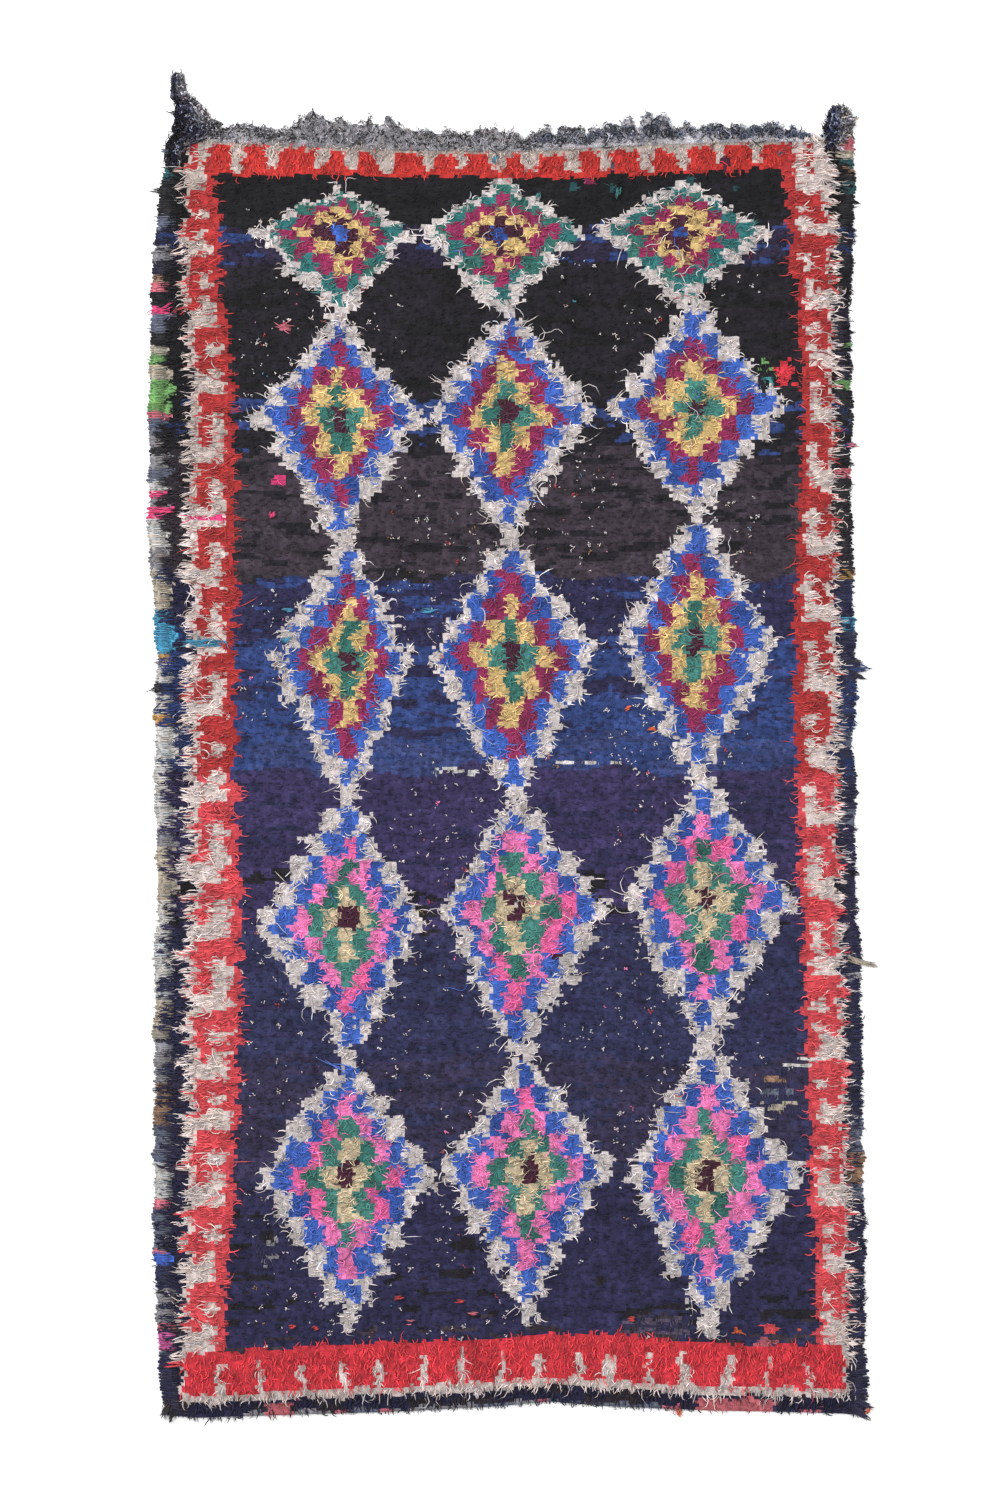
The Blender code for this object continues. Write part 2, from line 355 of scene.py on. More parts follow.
KEY = {  # a key starts with a red cross bar and ends with an ivory bar, as shares of its length
    "left": {"cross": 0.27, "ivory": 0.74},
    "right": {"cross": 0.28, "ivory": 0.74},
}
# along = Y in millimetres; the rest are shares of the border, from the cloth's edge at 0 to the field at 1
LEFT_ZONES = records(
    "along selvage dark ivory bar notch",
    (1095, 0.14, 0.34, 0.44, 0.64, 0.88),
    (1040, 0.17, 0.43, 0.50, 0.70, 0.87),
    (800, 0.17, 0.47, 0.57, 0.73, 0.88),
    (200, 0.17, 0.42, 0.55, 0.70, 0.86),
    (-370, 0.12, 0.39, 0.48, 0.66, 0.88),
    (-560, 0.08, 0.39, 0.48, 0.66, 0.89),
    (-900, 0.09, 0.39, 0.50, 0.67, 0.88),
    (-960, 0.13, 0.42, 0.51, 0.67, 0.85),
    (-1125, 0.10, 0.38, 0.46, 0.67, 0.85),
    (-1160, 0.06, 0.24, 0.32, 0.60, 0.85),
)
RIGHT_ZONES = records(
    "along selvage dark ivory bar notch",
    (1095, 0.12, 0.30, 0.58, 0.68, 0.82),
    (1040, 0.08, 0.29, 0.42, 0.68, 0.85),
    (980, 0.05, 0.26, 0.38, 0.65, 0.85),
    (100, 0.06, 0.27, 0.40, 0.65, 0.85),
    (-250, 0.04, 0.29, 0.40, 0.65, 0.87),
    (-700, 0.04, 0.29, 0.40, 0.65, 0.85),
    (-730, 0.12, 0.29, 0.40, 0.65, 0.87),
    (-840, 0.12, 0.29, 0.40, 0.65, 0.87),
    (-880, 0.04, 0.29, 0.42, 0.65, 0.85),
    (-1150, 0.04, 0.28, 0.42, 0.65, 0.85),
)
TOP_ZONES = {"ivory": 0.13, "teeth": 0.80}
BOTTOM_ZONES = {"selvage": 0.08, "dark": 0.24, "ivory": 0.37, "teeth": 0.80}
SECOND_ARM = {"keys": 0.4, "from": 0.46, "to": 0.58}  # some keys have one more red bar inside
TOOTH = {  # half width of a tooth in millimetres, times this much at its root, and how much less at its tip
    "top": {"half": 12, "root": 1.25, "taper": 0.5},
    "bottom": {"half": 6.5, "root": 1.6, "taper": 1.0},
}
TUFT = {"left": 0.15, "right": 0.19, "inner": 0.07}  # how far tufts reach out, as shares of the border
TUFT_FADE = {"from": 1.6, "left": 2.4, "right": 2.8}  # towards the field the tufts fade out, this fast
TUFT_START = 0.15  # over this share of the border the left tufts set in
INNER_FROM = 0.8  # from this share on, the edge towards the field is ragged
LAST_KEY = 120  # length of the last key, in millimetres
BARE_LEFT = {"ends": -1190, "over": 90}  # towards the bottom, pile covers the left selvage
BARE_BOTTOM = {"kilim": 2.5, "elsewhere": 0.65}  # how wide the bare strip is, times its share
KILIM_PATCHES = [(364, 512), (-461, -405)]  # the flat woven end shows from this X to that one, in millimetres
DARKER_IVORY_ABOVE = 450  # above this Y the ivory of the left border is darker
ZONES = ["field", "lozenge", "left", "right", "top", "bottom", "bare"]
print(len(LEFT_KEYS) + len(RIGHT_KEYS), "keys and", len(TOP_TEETH) + len(BOTTOM_TEETH), "teeth")

# %% [markdown]
# A key is drawn by two questions: how far across the border is this point, and how far along its key? A
# tooth asks for the nearest tooth and how far off its middle the point lies. The same functions serve one
# point or a million.


# %% Keys, teeth and tufts
def zone(name):
    """The number of a zone of the rug."""
    return ZONES.index(name)


def limits(rows, y):
    """Where the zones of a side end at each Y."""
    return {name: read(rows, "along", y, name) for name in rows[0] if name != "along"}


def key_yarn(share, along, zones, starts, key):
    """Red or ivory for the keys of one side; share runs from the cloth's edge at 0 to the field at 1."""
    starts = np.array(starts, float)
    order = np.clip(np.searchsorted(-starts, -along, side="right") - 1, 0, len(starts) - 1)
    ends = np.append(starts[1:], starts[-1] - LAST_KEY)
    phase = (starts[order] - along) / (starts[order] - ends[order])
    red = share > zones["notch"]
    red |= (phase < key["cross"]) & (share > zones["ivory"])
    red |= (phase < key["ivory"]) & (share > zones["ivory"]) & (share < zones["bar"])
    armed = (knot_chance(order, len(starts), 25) < SECOND_ARM["keys"]) & (order > 0)
    red |= armed & (phase > SECOND_ARM["from"]) & (phase < SECOND_ARM["to"]) & (share > zones["ivory"])
    dye = np.where(along + 40 * smooth_noise(along, along, 60, 17) > -60, yarn("red"), yarn("coral"))
    return np.where(red, dye, yarn("ivory"))


def tooth_yarn(share, across, zones, places, shape, dye):
    """Ivory teeth in red along one end; each leans its own way."""
    places = np.array(places, float)
    order = np.argmin(np.abs(across[..., None] - places), axis=-1)
    lean = 30 * (knot_chance(order, 1, 18) - 0.5) * (share - 0.5)
    lean = lean + 6 * smooth_noise(across, 90 * share, 14, 28)
    wide = shape["half"] * (0.7 + 0.7 * knot_chance(order, 2, 19)) * (shape["root"] - shape["taper"] * share)
    tall = zones["teeth"] + 0.18 * (knot_chance(order, 3, 29) - 0.5)
    ivory = (share < zones["ivory"]) | ((np.abs(across + lean - places[order]) < wide) & (share < tall))
    return np.where(ivory, yarn("ivory"), yarn(dye))


def tufts(y):
    """Where the locks of the sides gather into tufts; more than 0 in a tuft, less between two."""
    return smooth_noise(0 * y, y, 13, 15)


def kilim_patch(x):
    """Where the flat woven end shows below the pile at the bottom."""
    shown = np.zeros(np.shape(x), bool)
    for start, end in KILIM_PATCHES:
        shown |= (x > start) & (x < end)
    return shown


print("kilim patches show at X = -430 and 440:", kilim_patch(np.array([-430, 440])))

# %% [markdown]
# The whole border is laid in layers, as paint would be: first the keys and teeth, then the ivory line over
# them, then the dark locks, and last the bare selvage. Each layer covers what it crosses, so corners need
# no rule.


# %% The whole border
def border(x, y):
    """Yarn and zone of every point outside the field, and -1 for both on the field."""
    x = x + 4 * smooth_noise(x, y, 30, 11) + 6 * smooth_noise(x / 3, y, 8, 12)
    y = y + 5 * smooth_noise(x, y, 28, 13) + 4 * smooth_noise(x, y, 9, 14)
    edge_left, edge_right = (read(SIDES, "along", y, side) for side in ("left", "right"))
    inner_left, inner_right = (read(FIELD_SIDES, "along", y, side) for side in ("left", "right"))
    across = (x - edge_left) / (edge_right - edge_left)
    edge_top, edge_bottom = (read(ENDS, "share", across, side) for side in ("top", "bottom"))
    inner_top, inner_bottom = (read(FIELD_ENDS, "across", x, side) for side in ("top", "bottom"))
    from_left = (x - edge_left) / (inner_left - edge_left)
    from_right = (edge_right - x) / (edge_right - inner_right)
    left_zones, right_zones = limits(LEFT_ZONES, y), limits(RIGHT_ZONES, y)
    tuft = tufts(y) + 0.5 * smooth_noise(x / 4, y, 7, 20)
    pull = TUFT["left"] * tuft * np.clip(TUFT_FADE["from"] - TUFT_FADE["left"] * from_left, 0, 1)
    from_left = from_left + pull * np.clip(from_left / TUFT_START, 0, 1)
    pull = TUFT["right"] * tuft * np.clip(TUFT_FADE["from"] - TUFT_FADE["right"] * from_right, 0, 1)
    from_right = from_right + pull
    ragged = TUFT["inner"] * smooth_noise(x / 3, y, 9, 26)
    from_left = from_left + ragged * (from_left > INNER_FROM)
    from_right = from_right + ragged * (from_right > INNER_FROM)
    from_top = (edge_top - y) / (edge_top - inner_top)
    from_bottom = (y - edge_bottom) / (inner_bottom - edge_bottom)
    dark = field_yarn(x, y)
    found = np.full(np.shape(x), -1)
    place = np.full(np.shape(x), -1)
    top_yarn = tooth_yarn(from_top, x, TOP_ZONES, TOP_TEETH, TOOTH["top"], "scarlet")
    bottom_yarn = tooth_yarn(from_bottom, x, BOTTOM_ZONES, BOTTOM_TEETH, TOOTH["bottom"], "crimson")
    sides = [
        ("top", from_top, TOP_ZONES, top_yarn),
        ("left", from_left, left_zones, key_yarn(from_left, y, left_zones, LEFT_KEYS, KEY["left"])),
        ("right", from_right, right_zones, key_yarn(from_right, y, right_zones, RIGHT_KEYS, KEY["right"])),
        ("bottom", from_bottom, BOTTOM_ZONES, bottom_yarn),
    ]
    for name, share, zones, colours in sides:
        inside = share < 1
        if name == "top":
            inside &= (from_left > left_zones["notch"]) & (from_right > right_zones["notch"])
        found = np.where(inside, colours, found)
        place = np.where(inside, zone(name), place)
    locked = [side for side in sides if side[0] != "top"]
    for name, share, zones, colours in locked:
        line = (share < zones["ivory"]) & (share >= zones["dark"]) & (place >= 0)
        found = np.where(line, yarn("ivory"), found)
    strip = from_top < TOP_ZONES["ivory"]
    strip &= (from_left > left_zones["dark"]) & (from_right > right_zones["dark"])
    found = np.where(strip, yarn("old_ivory"), found)
    place = np.where(strip, zone("top"), place)
    for name, share, zones, colours in locked:
        locks = share < zones["dark"]
        found = np.where(locks, dark, found)
        place = np.where(locks, zone(name), place)
    reach = {
        "left": np.clip((y - BARE_LEFT["ends"]) / BARE_LEFT["over"], 0, 1),
        "bottom": np.where(kilim_patch(x), BARE_BOTTOM["kilim"], BARE_BOTTOM["elsewhere"]),
    }
    for name, share, zones, colours in locked:
        place = np.where(share < zones["selvage"] * reach.get(name, 1), zone("bare"), place)
    ivory = found == yarn("ivory")
    # the ivory of the top border and of the upper left border is darker
    darkened = ivory & ((place == zone("top")) | ((x < 0) & (y > DARKER_IVORY_ABOVE)))
    return np.where(darkened, yarn("dusty_ivory"), np.where(ivory, yarn("warm_ivory"), found)), place


print("zone at the left edge:", ZONES[int(border(np.array([-655.0]), np.array([0.0]))[1][0])])

# %% [markdown]
# The wefts turn back at the selvages and show there as short bands of whatever yarn or rag was in the
# shuttle. A table names the bands down each side and along the bottom, each with the place where it starts.

# %% The selvage bands
SELVAGE_BANDS = {
    "left": [
        (1300, "black"), (1105, "petrol"), (1080, "black"), (1010, "slate"), (985, "indigo"), (955, "grey"),
        (925, "indigo"), (900, "tan"), (885, "rose"), (868, "black"), (838, "hot_pink"), (826, "slate"),
        (790, "black"), (768, "cream"), (748, "grass"), (729, "cream"), (702, "grass"), (637, "rose"),
        (624, "slate"), (598, "grey"), (570, "black"), (556, "grey"), (530, "slate"), (506, "white"),
        (487, "hot_pink"), (474, "grey"), (456, "hot_pink"), (434, "white"), (380, "grey"), (340, "cream"),
        (262, "turquoise"), (180, "ochre"), (160, "white"), (120, "black"), (104, "white"), (60, "ochre"),
        (40, "white"), (-150, "grey"), (-190, "cream"), (-290, "white"), (-480, "cream"), (-560, "grey"),
        (-640, "tan"), (-720, "slate"), (-790, "white"), (-860, "rose"), (-880, "slate"), (-955, "rose"),
        (-962, "deep_blue"), (-985, "navy"), (-1030, "grey"), (-1095, "rose"), (-1108, "night"),
        (-1114, "orchid"), (-1146, "slate"), (-1158, "night"),
    ],
    "right": [
        (1300, "slate"), (1167, "rose"), (1136, "cream"), (1120, "petrol"), (1104, "tan"), (1092, "black"),
        (1078, "petrol"), (1052, "black"),
        (860, "indigo"), (700, "grass"), (680, "black"), (530, "rose"), (515, "black"), (340, "ochre"),
        (320, "navy"), (250, "turquoise"), (222, "navy"), (40, "slate"), (0, "night"), (-120, "slate"),
        (-150, "night"), (-430, "grey"), (-450, "night"), (-700, "slate"), (-770, "tan"), (-830, "slate"),
        (-860, "night"), (-1000, "slate"), (-1030, "night"),
    ],
    "bottom": [  # these run from left to right instead, from this X on
        (-700, "night"), (-500, "grey"), (-461, "kilim"), (-405, "grey"), (-330, "rose"), (-300, "slate"),
        (-240, "rose"), (-215, "grey"), (-60, "slate"), (20, "grey"), (60, "rose"), (80, "slate"),
        (300, "rose"), (330, "night"), (364, "kilim"), (512, "night"), (560, "rose"), (600, "night"),
    ],
}
print("selvage bands:", {side: len(bands) for side, bands in SELVAGE_BANDS.items()})

# %% [markdown]
# Where the pile has worn away, the wefts show through. In other places a weaver or a mender tied in a knot
# of another yarn. Each such place gets its middle and its half sizes, and its edge is left ragged further
# on.

# %% Worn patches and repairs
WORN = records(  # middle and half sizes in millimetres, and the wefts that show from the top down
    "x y half_x half_y wefts",
    (500, 712, 24, 30, ["grass", "black", "grass", "black", "teal", "black"]),
    (520, -655, 40, 46, ["night", "tan", "night", "slate", "night", "cream", "night"]),
    (292, -1100, 66, 26, ["charcoal", "worn", "dusk", "worn", "charcoal"]),
    (-455, -955, 22, 30, ["grey", "night", "grey"]),
    (-92, -46, 62, 6, ["white"]),
    (161, -29, 73, 4, ["white"]),
)
FLAT_WEFTS = records(  # wefts that cross the pile of a border, with middle and half sizes in millimetres
    "x y half_x half_y yarn",
    (-572, 199, 38, 7, "turquoise"),
    (-568, 436, 36, 5, "hot_pink"),
    (577, -592, 25, 3, "white"),
    (560, -603, 30, 3, "white"),
)
REPAIRS = records(  # knots of another yarn, with their middle and half sizes in millimetres
    "x y half_x half_y yarn",
    (533, 712, 15, 27, "crimson"),
    (94, -396, 13, 5, "maroon"),
    (20, -300, 4, 12, "ivory"),
    (505, -1106, 17, 8, "coral"),
    (487, -1131, 19, 8, "rose"),
    (440, -1108, 5, 5, "orange"),
    (556, -1107, 6, 5, "orange"),
    (131, 1068, 7, 8, "petrol"),
    (202, 1064, 9, 9, "petrol"),
    (159, 1076, 6, 6, "wine"),
    (352, 1077, 5, 7, "petrol"),
    (438, 1064, 7, 7, "petrol"),
    (205, 1108, 5, 8, "slate"),
    (523, 1131, 5, 6, "slate"),
    (-435, 505, 14, 9, "hot_pink"),
    (-418, 800, 9, 9, "rose"),
    (-655, -1130, 11, 14, "orchid"),
    (417, 1112, 7, 14, "maroon"),
)
FLAT_END = -1235  # below this Y a bare place belongs to the flat woven end
BESIDE = 400  # a bare place further out than this X belongs to a side
print("worn patches:", len(WORN), "flat wefts:", len(FLAT_WEFTS), "repairs:", len(REPAIRS))

# %% [markdown]
# The whole pattern is again laid in layers: the dark field, the lozenges, the worn patches, the border and
# the repairs. One function answers for any point, so the ground and the loose ends can't disagree about a
# colour. Last, the bare places at the edges take the yarns of the selvage bands.


# %% The whole pattern
def selvage_yarn(side, place):
    """The weft yarn that shows at one selvage."""
    found = np.full(np.shape(place), yarn(SELVAGE_BANDS[side][0][1]))
    for start, name in SELVAGE_BANDS[side]:
        reached = place > start if side == "bottom" else place < start
        found = np.where(reached, yarn(name), found)
    return found


def pattern(x, y):
    """Yarn and zone of every point of the cloth."""
    lozenge = lozenge_yarn(x, y)
    found = np.where(lozenge >= 0, lozenge, field_yarn(x, y))
    place = np.where(lozenge >= 0, zone("lozenge"), zone("field"))
    ragged = 1 + 0.35 * smooth_noise(x, y, 12, 21)
    for patch in WORN:
        off_x, off_y = (x - patch["x"]) / patch["half_x"], (y - patch["y"]) / patch["half_y"]
        inside = np.hypot(off_x, off_y) < ragged
        weft = np.clip((1 - off_y) / 2 * len(patch["wefts"]), 0, len(patch["wefts"]) - 1).astype(int)
        names = np.array([yarn(name) for name in patch["wefts"]])
        over = smooth_noise(x / 2.5, y, 6, 23) > 0.12
        found = np.where(inside, np.where(over, field_yarn(x, y), names[weft]), found)
        place = np.where(inside, zone("bare"), place)
    edge_yarn, edge_place = border(x, y)
    found = np.where(edge_place >= 0, edge_yarn, found)
    place = np.where(edge_place >= 0, edge_place, place)
    for patch in REPAIRS:
        off_x, off_y = (x - patch["x"]) / patch["half_x"], (y - patch["y"]) / patch["half_y"]
        inside = np.hypot(off_x, off_y) < ragged + 0.6 * smooth_noise(x / 2, y, 6, 30)
        found = np.where(inside, yarn(patch["yarn"]), found)
        place = np.where(inside & (place == zone("field")), zone("lozenge"), place)
    for weft in FLAT_WEFTS:
        frayed_x = x + 9 * smooth_noise(x / 9, y, 5, 27)
        inside = (np.abs(frayed_x - weft["x"]) < weft["half_x"]) & (np.abs(y - weft["y"]) < weft["half_y"])
        found = np.where(inside, yarn(weft["yarn"]), found)
        place = np.where(inside, zone("bare"), place)
    bare = (edge_place == zone("bare")) & (place == zone("bare"))
    below = bare & (y < FLAT_END)
    left = bare & (x < -BESIDE) & ~below
    right = bare & (x > BESIDE) & ~below
    found = np.where(below, selvage_yarn("bottom", x), found)
    found = np.where(left, selvage_yarn("left", y), found)
    return np.where(right, selvage_yarn("right", y), found), place


sample_yarn = pattern(np.array([100.0, -655.0]), np.array([-180.0, 0.0]))[0]
print("yarns in the field and at the left edge:", [YARN_NAMES[one] for one in sample_yarn])

# %% [markdown]
# Now the ground. It is one flat sheet with a face for about every half knot, laid on the lumps of the solid
# below it, so the rug keeps the relief it was packed with. A ray dropped on the solid gives its height. The
# heights are worked out first as a net of numbers, because the loose yarns will need them again.

# %% The lumps of the solid below
FACES_PER_ROW = 2
COLUMNS = round(CLOTH_WIDTH / MM / KNOT_WIDE)
ROWS = round(CLOTH_LENGTH / MM / ROW_TALL)
DOWN = ROWS * FACES_PER_ROW
BARE_HEIGHT = 5 * MM
GROUND_SHARE = 0.70  # of the solid's pile; loose ends lie over the rest
KNOT_RELIEF = 2.4 * MM
FULL_PILE = 8 * MM  # this far above bare cloth the pile has its full relief
STRAY = 1.8  # how far a corner of the net may stray, in millimetres
SIDE_STRIP = 0.02  # this share of the width at each side has a ragged edge
RAGGED_SIDE = {"swing": 4.5, "drawn_in": 1.5}  # millimetres

solid = bpy.data.objects["rug_cloth"]
surface = BVHTree.FromPolygons(
    [vertex.co.copy() for vertex in solid.data.vertices],
    [tuple(face.vertices) for face in solid.data.polygons],
)


def drop(x, y):
    """Height of the solid's top under each point, all in metres."""
    heights = np.full(len(x), BARE_HEIGHT)
    for index, (one_x, one_y) in enumerate(zip(x, y)):
        hit = surface.ray_cast(Vector((one_x, one_y, 1)), Vector((0, 0, -1)))
        if hit[0] is not None:
            heights[index] = hit[0].z
    return heights


def knot_shade(x, y, dark):
    """How much lighter or darker each knot is than its yarn; rows of the dark field vary as whole rows."""
    column, row = np.floor(x / KNOT_WIDE), np.floor(y / ROW_TALL)
    own = 1 + 0.34 * (knot_chance(column, row, 5) + knot_chance(column, row, 6) - 1)
    rows = 1 + 0.22 * smooth_noise(x / 7, y, 12, 73) + 0.16 * smooth_noise(x / 2, y, 8, 74)
    return own * np.where(dark, rows, 1 + 0.08 * smooth_noise(x, y, 40, 75))


net_column, net_row = np.meshgrid(np.arange(COLUMNS + 1), np.arange(DOWN + 1), indexing="ij")
net_across, net_along = net_column / COLUMNS, net_row / DOWN
net_x, net_y = cloth_point(net_across, net_along)
inner = (net_across > 0) & (net_across < 1) & (net_along > 0) & (net_along < 1)
net_x = net_x + inner * STRAY * (knot_chance(net_column, net_row, 1) - 0.5)
net_y = net_y + inner * STRAY * (knot_chance(net_column, net_row, 2) - 0.5)
at_side = np.clip((np.abs(net_across - 0.5) - 0.48) / SIDE_STRIP, 0, 1)
ragged = RAGGED_SIDE["swing"] * smooth_noise(0 * net_x, net_y, 12, 32) - RAGGED_SIDE["drawn_in"]
net_x = net_x + at_side * np.sign(net_across - 0.5) * ragged
net_z = drop(net_x.ravel() * MM, net_y.ravel() * MM).reshape(net_x.shape)
pile = np.clip((net_z - BARE_HEIGHT) / FULL_PILE, 0, 1)
in_row = (net_row % FACES_PER_ROW) / FACES_PER_ROW
net_z -= (1 - GROUND_SHARE) * np.clip(net_z - BARE_HEIGHT, 0, None)
net_z += KNOT_RELIEF * pile * (knot_chance(net_column, net_row // FACES_PER_ROW, 3) - 0.7 + 0.6 * in_row)
net_z += 1.0 * MM * pile * smooth_noise(net_x, net_y, 24, 31)
print("ground height in mm from", round(net_z.min() / MM, 1), "to", round(net_z.max() / MM, 1))

# %% [markdown]
# The sheet could be a plane with a Displace modifier, but then its rim would stay straight. It is a grid
# instead, whose rim is extruded down and filled underneath, and then each corner goes to its place in the
# net. Normals are made to point outwards last, because the moves can turn a face over.


# %% The ground as one closed sheet
def object_from(name, bm):
    """A finished object at the origin."""
    mesh = bpy.data.meshes.new(name)
    bm.to_mesh(mesh)
    bm.free()
    made = bpy.data.objects.new(name, mesh)
    bpy.context.scene.collection.objects.link(made)
    return made


bm = bmesh.new()
bmesh.ops.create_grid(bm, x_segments=COLUMNS, y_segments=DOWN, size=0.5)
rim = [edge for edge in bm.edges if edge.is_boundary]
lowered = bmesh.ops.extrude_edge_only(bm, edges=rim)["geom"]
under = [item for item in lowered if isinstance(item, bmesh.types.BMVert)]
bmesh.ops.translate(bm, verts=under, vec=(0, 0, -1))
bmesh.ops.contextual_create(bm, geom=[item for item in lowered if isinstance(item, bmesh.types.BMEdge)])
for vertex in bm.verts:
    place = round((vertex.co.x + 0.5) * COLUMNS), round((vertex.co.y + 0.5) * DOWN)
    height = net_z[place] if vertex.co.z > -0.5 else 0
    vertex.co = (net_x[place] * MM, net_y[place] * MM, height)
bmesh.ops.recalc_face_normals(bm, faces=bm.faces[:])
ground = object_from("knotted_ground", bm)
ground.data.shade_smooth()


def ground_height(x, y):
    """Height of the ground in metres under points in millimetres, and 0 beyond the cloth."""
    left, right = (read(SIDES, "along", y, side) for side in ("left", "right"))
    across = (x - left) / (right - left)
    low, high = (read(ENDS, "share", across, end) for end in ("bottom", "top"))
    along = (y - low) / (high - low)
    beyond = (across < 0) | (across > 1) | (along < 0) | (along > 1)
    column = np.clip(np.round(across * COLUMNS), 0, COLUMNS).astype(int)
    row = np.clip(np.round(along * DOWN), 0, DOWN).astype(int)
    return np.where(beyond, 0, net_z[column, row])


print("ground faces:", len(ground.data.polygons))

# %% [markdown]
# One recipe serves all the wool, and each kind of it is a material with its own grain and sheen. The colour
# comes from the mesh, where each knot or yarn carries its own. A fine grain darkens and lightens it, partly
# as fibres of different shades carded together and partly as painted shade in the gaps between fibres and
# yarns, and wide faint blotches vary it too. The same grain drives the bump. A little sheen stands for the
# fuzz that catches light along a yarn's edges.


# %% Colours on a mesh and the wool material
def paint(piece, light, domain):
    """Store one colour for each corner or point of a piece."""
    layer = piece.data.color_attributes.new("yarn_colour", "FLOAT_COLOR", domain)
    opaque = np.column_stack([light, np.ones(len(light))])
    layer.data.foreach_set("color", opaque.astype(np.float32).ravel())


def add_node(nodes, kind, **values):
    """A new node with values set on its inputs; an underscore in a name stands for a space."""
    made = nodes.new("ShaderNode" + kind)
    for name, value in values.items():
        made.inputs[name.replace("_", " ")].default_value = value
    return made


BLOTCH = {"size": 26 * MM, "From_Min": 0.3, "From_Max": 0.7, "To_Min": 0.86, "To_Max": 1.14}  # wide and faint


def wool(name, grain, streak, depth, contrast, sheen, roughness, soft=0.25):
    """Wool in the colour that the mesh carries; grain is the size of a fibre tuft in millimetres."""
    made = bpy.data.materials.new(name)
    made.use_nodes = True
    nodes, links = made.node_tree.nodes, made.node_tree.links
    shader = nodes["Principled BSDF"]
    shader.inputs["Roughness"].default_value = roughness
    shader.inputs["Sheen Weight"].default_value = sheen
    shader.inputs["Sheen Roughness"].default_value = 0.5
    shader.inputs["Specular IOR Level"].default_value = 0.2
    place = add_node(nodes, "TexCoord").outputs["Object"]
    stretch = add_node(nodes, "Mapping", Scale=(1 / streak, 1, 1))
    links.new(place, stretch.inputs["Vector"])
    fibre = add_node(nodes, "TexNoise", Scale=1 / (grain * MM), Detail=3, Roughness=0.7, Distortion=1.2)
    links.new(stretch.outputs["Vector"], fibre.inputs["Vector"])
    blotch = add_node(nodes, "TexNoise", Scale=1 / BLOTCH["size"], Detail=2)
    links.new(place, blotch.inputs["Vector"])
    grey = {"From_Min": 0.5 - soft, "From_Max": 0.5 + soft, "To_Min": 1 - contrast, "To_Max": 1 + contrast}
    # the fibre grain scales the colour: partly fibres of different shades, partly painted shade in the gaps
    # between fibres and yarns
    grain_shade = add_node(nodes, "MapRange", **grey)
    links.new(fibre.outputs["Fac"], grain_shade.inputs["Value"])
    wide = add_node(nodes, "MapRange", **{name: BLOTCH[name] for name in grey})
    links.new(blotch.outputs["Fac"], wide.inputs["Value"])
    both = add_node(nodes, "Math")
    both.operation = "MULTIPLY"
    links.new(grain_shade.outputs["Result"], both.inputs[0])
    links.new(wide.outputs["Result"], both.inputs[1])
    colour = add_node(nodes, "Attribute")
    colour.attribute_name = "yarn_colour"
    shaded = add_node(nodes, "VectorMath")
    shaded.operation = "SCALE"
    links.new(colour.outputs["Color"], shaded.inputs[0])
    links.new(both.outputs["Value"], shaded.inputs["Scale"])
    links.new(shaded.outputs["Vector"], shader.inputs["Base Color"])
    bump = add_node(nodes, "Bump", Strength=0.8, Distance=depth * MM)
    links.new(fibre.outputs["Fac"], bump.inputs["Height"])
    links.new(bump.outputs["Normal"], shader.inputs["Normal"])
    return made


matted_wool = wool("matted_wool", grain=2.6, streak=1.5, depth=2.0, contrast=0.45, sheen=0.06, roughness=0.95)
loose_wool = wool("loose_wool", grain=1.6, streak=1.0, depth=0.6, contrast=0.26, sheen=0.12, roughness=0.9)
dark_wool = wool("dark_wool", grain=1.8, streak=1.0, depth=0.8, contrast=0.30, sheen=0.04, roughness=0.95)
print("materials:", matted_wool.name, loose_wool.name, dark_wool.name)

# %% [markdown]
# Each face of the ground takes the colour of the knot in its middle, so colours change as sharply as knots
# do. Under bright ends it is much darker than they are, because light is lost between them. Knots also
# differ a little among themselves. The back lies on the floor and is one plain face.

# %% Colour the ground
GROUND_DARKER = 0.55  # painted shade under bright ends, where light is lost between them
FIELD_DARKER = 0.95  # a little painted shade under dark ends and on bare cloth
UNDERSIDE_YARN = "dusk"
faces = ground.data.polygons
middles = np.zeros(len(faces) * 3)
faces.foreach_get("center", middles)
middles = middles.reshape(-1, 3) / MM
ground_yarn, ground_zone = pattern(middles[:, 0], middles[:, 1])
dark_face = ground_zone == zone("field")
tone_and_shade = knot_shade(middles[:, 0], middles[:, 1], dark_face) * (1 + 0.2 * (rng.random(len(faces)) - 0.5))
# painted shade: the ground is darkened where the loose ends above it shade it
tone_and_shade *= np.where(dark_face | (ground_zone == zone("bare")), FIELD_DARKER, GROUND_DARKER)
face_light = YARN_LIGHT[ground_yarn] * tone_and_shade[:, None]
corners = np.zeros(len(faces), int)
faces.foreach_get("loop_total", corners)
underside = np.argmax(corners)
face_light[underside] = YARN_LIGHT[yarn(UNDERSIDE_YARN)]
print("the underside is one face of", corners[underside], "corners in", UNDERSIDE_YARN)
paint(ground, np.repeat(face_light, corners, axis=0), "CORNER")
ground.data.materials.append(matted_wool)
print("knot zones:", {name: int(np.sum(ground_zone == zone(name))) for name in ZONES})

# %% [markdown]
# A colour can be baked onto a flat picture later, and for that each face needs its own place there. The map
# is the rug seen from above, and the underside has a strip of its own beside it. The low rim is drawn a
# little outwards, because seen from above it would have no width.

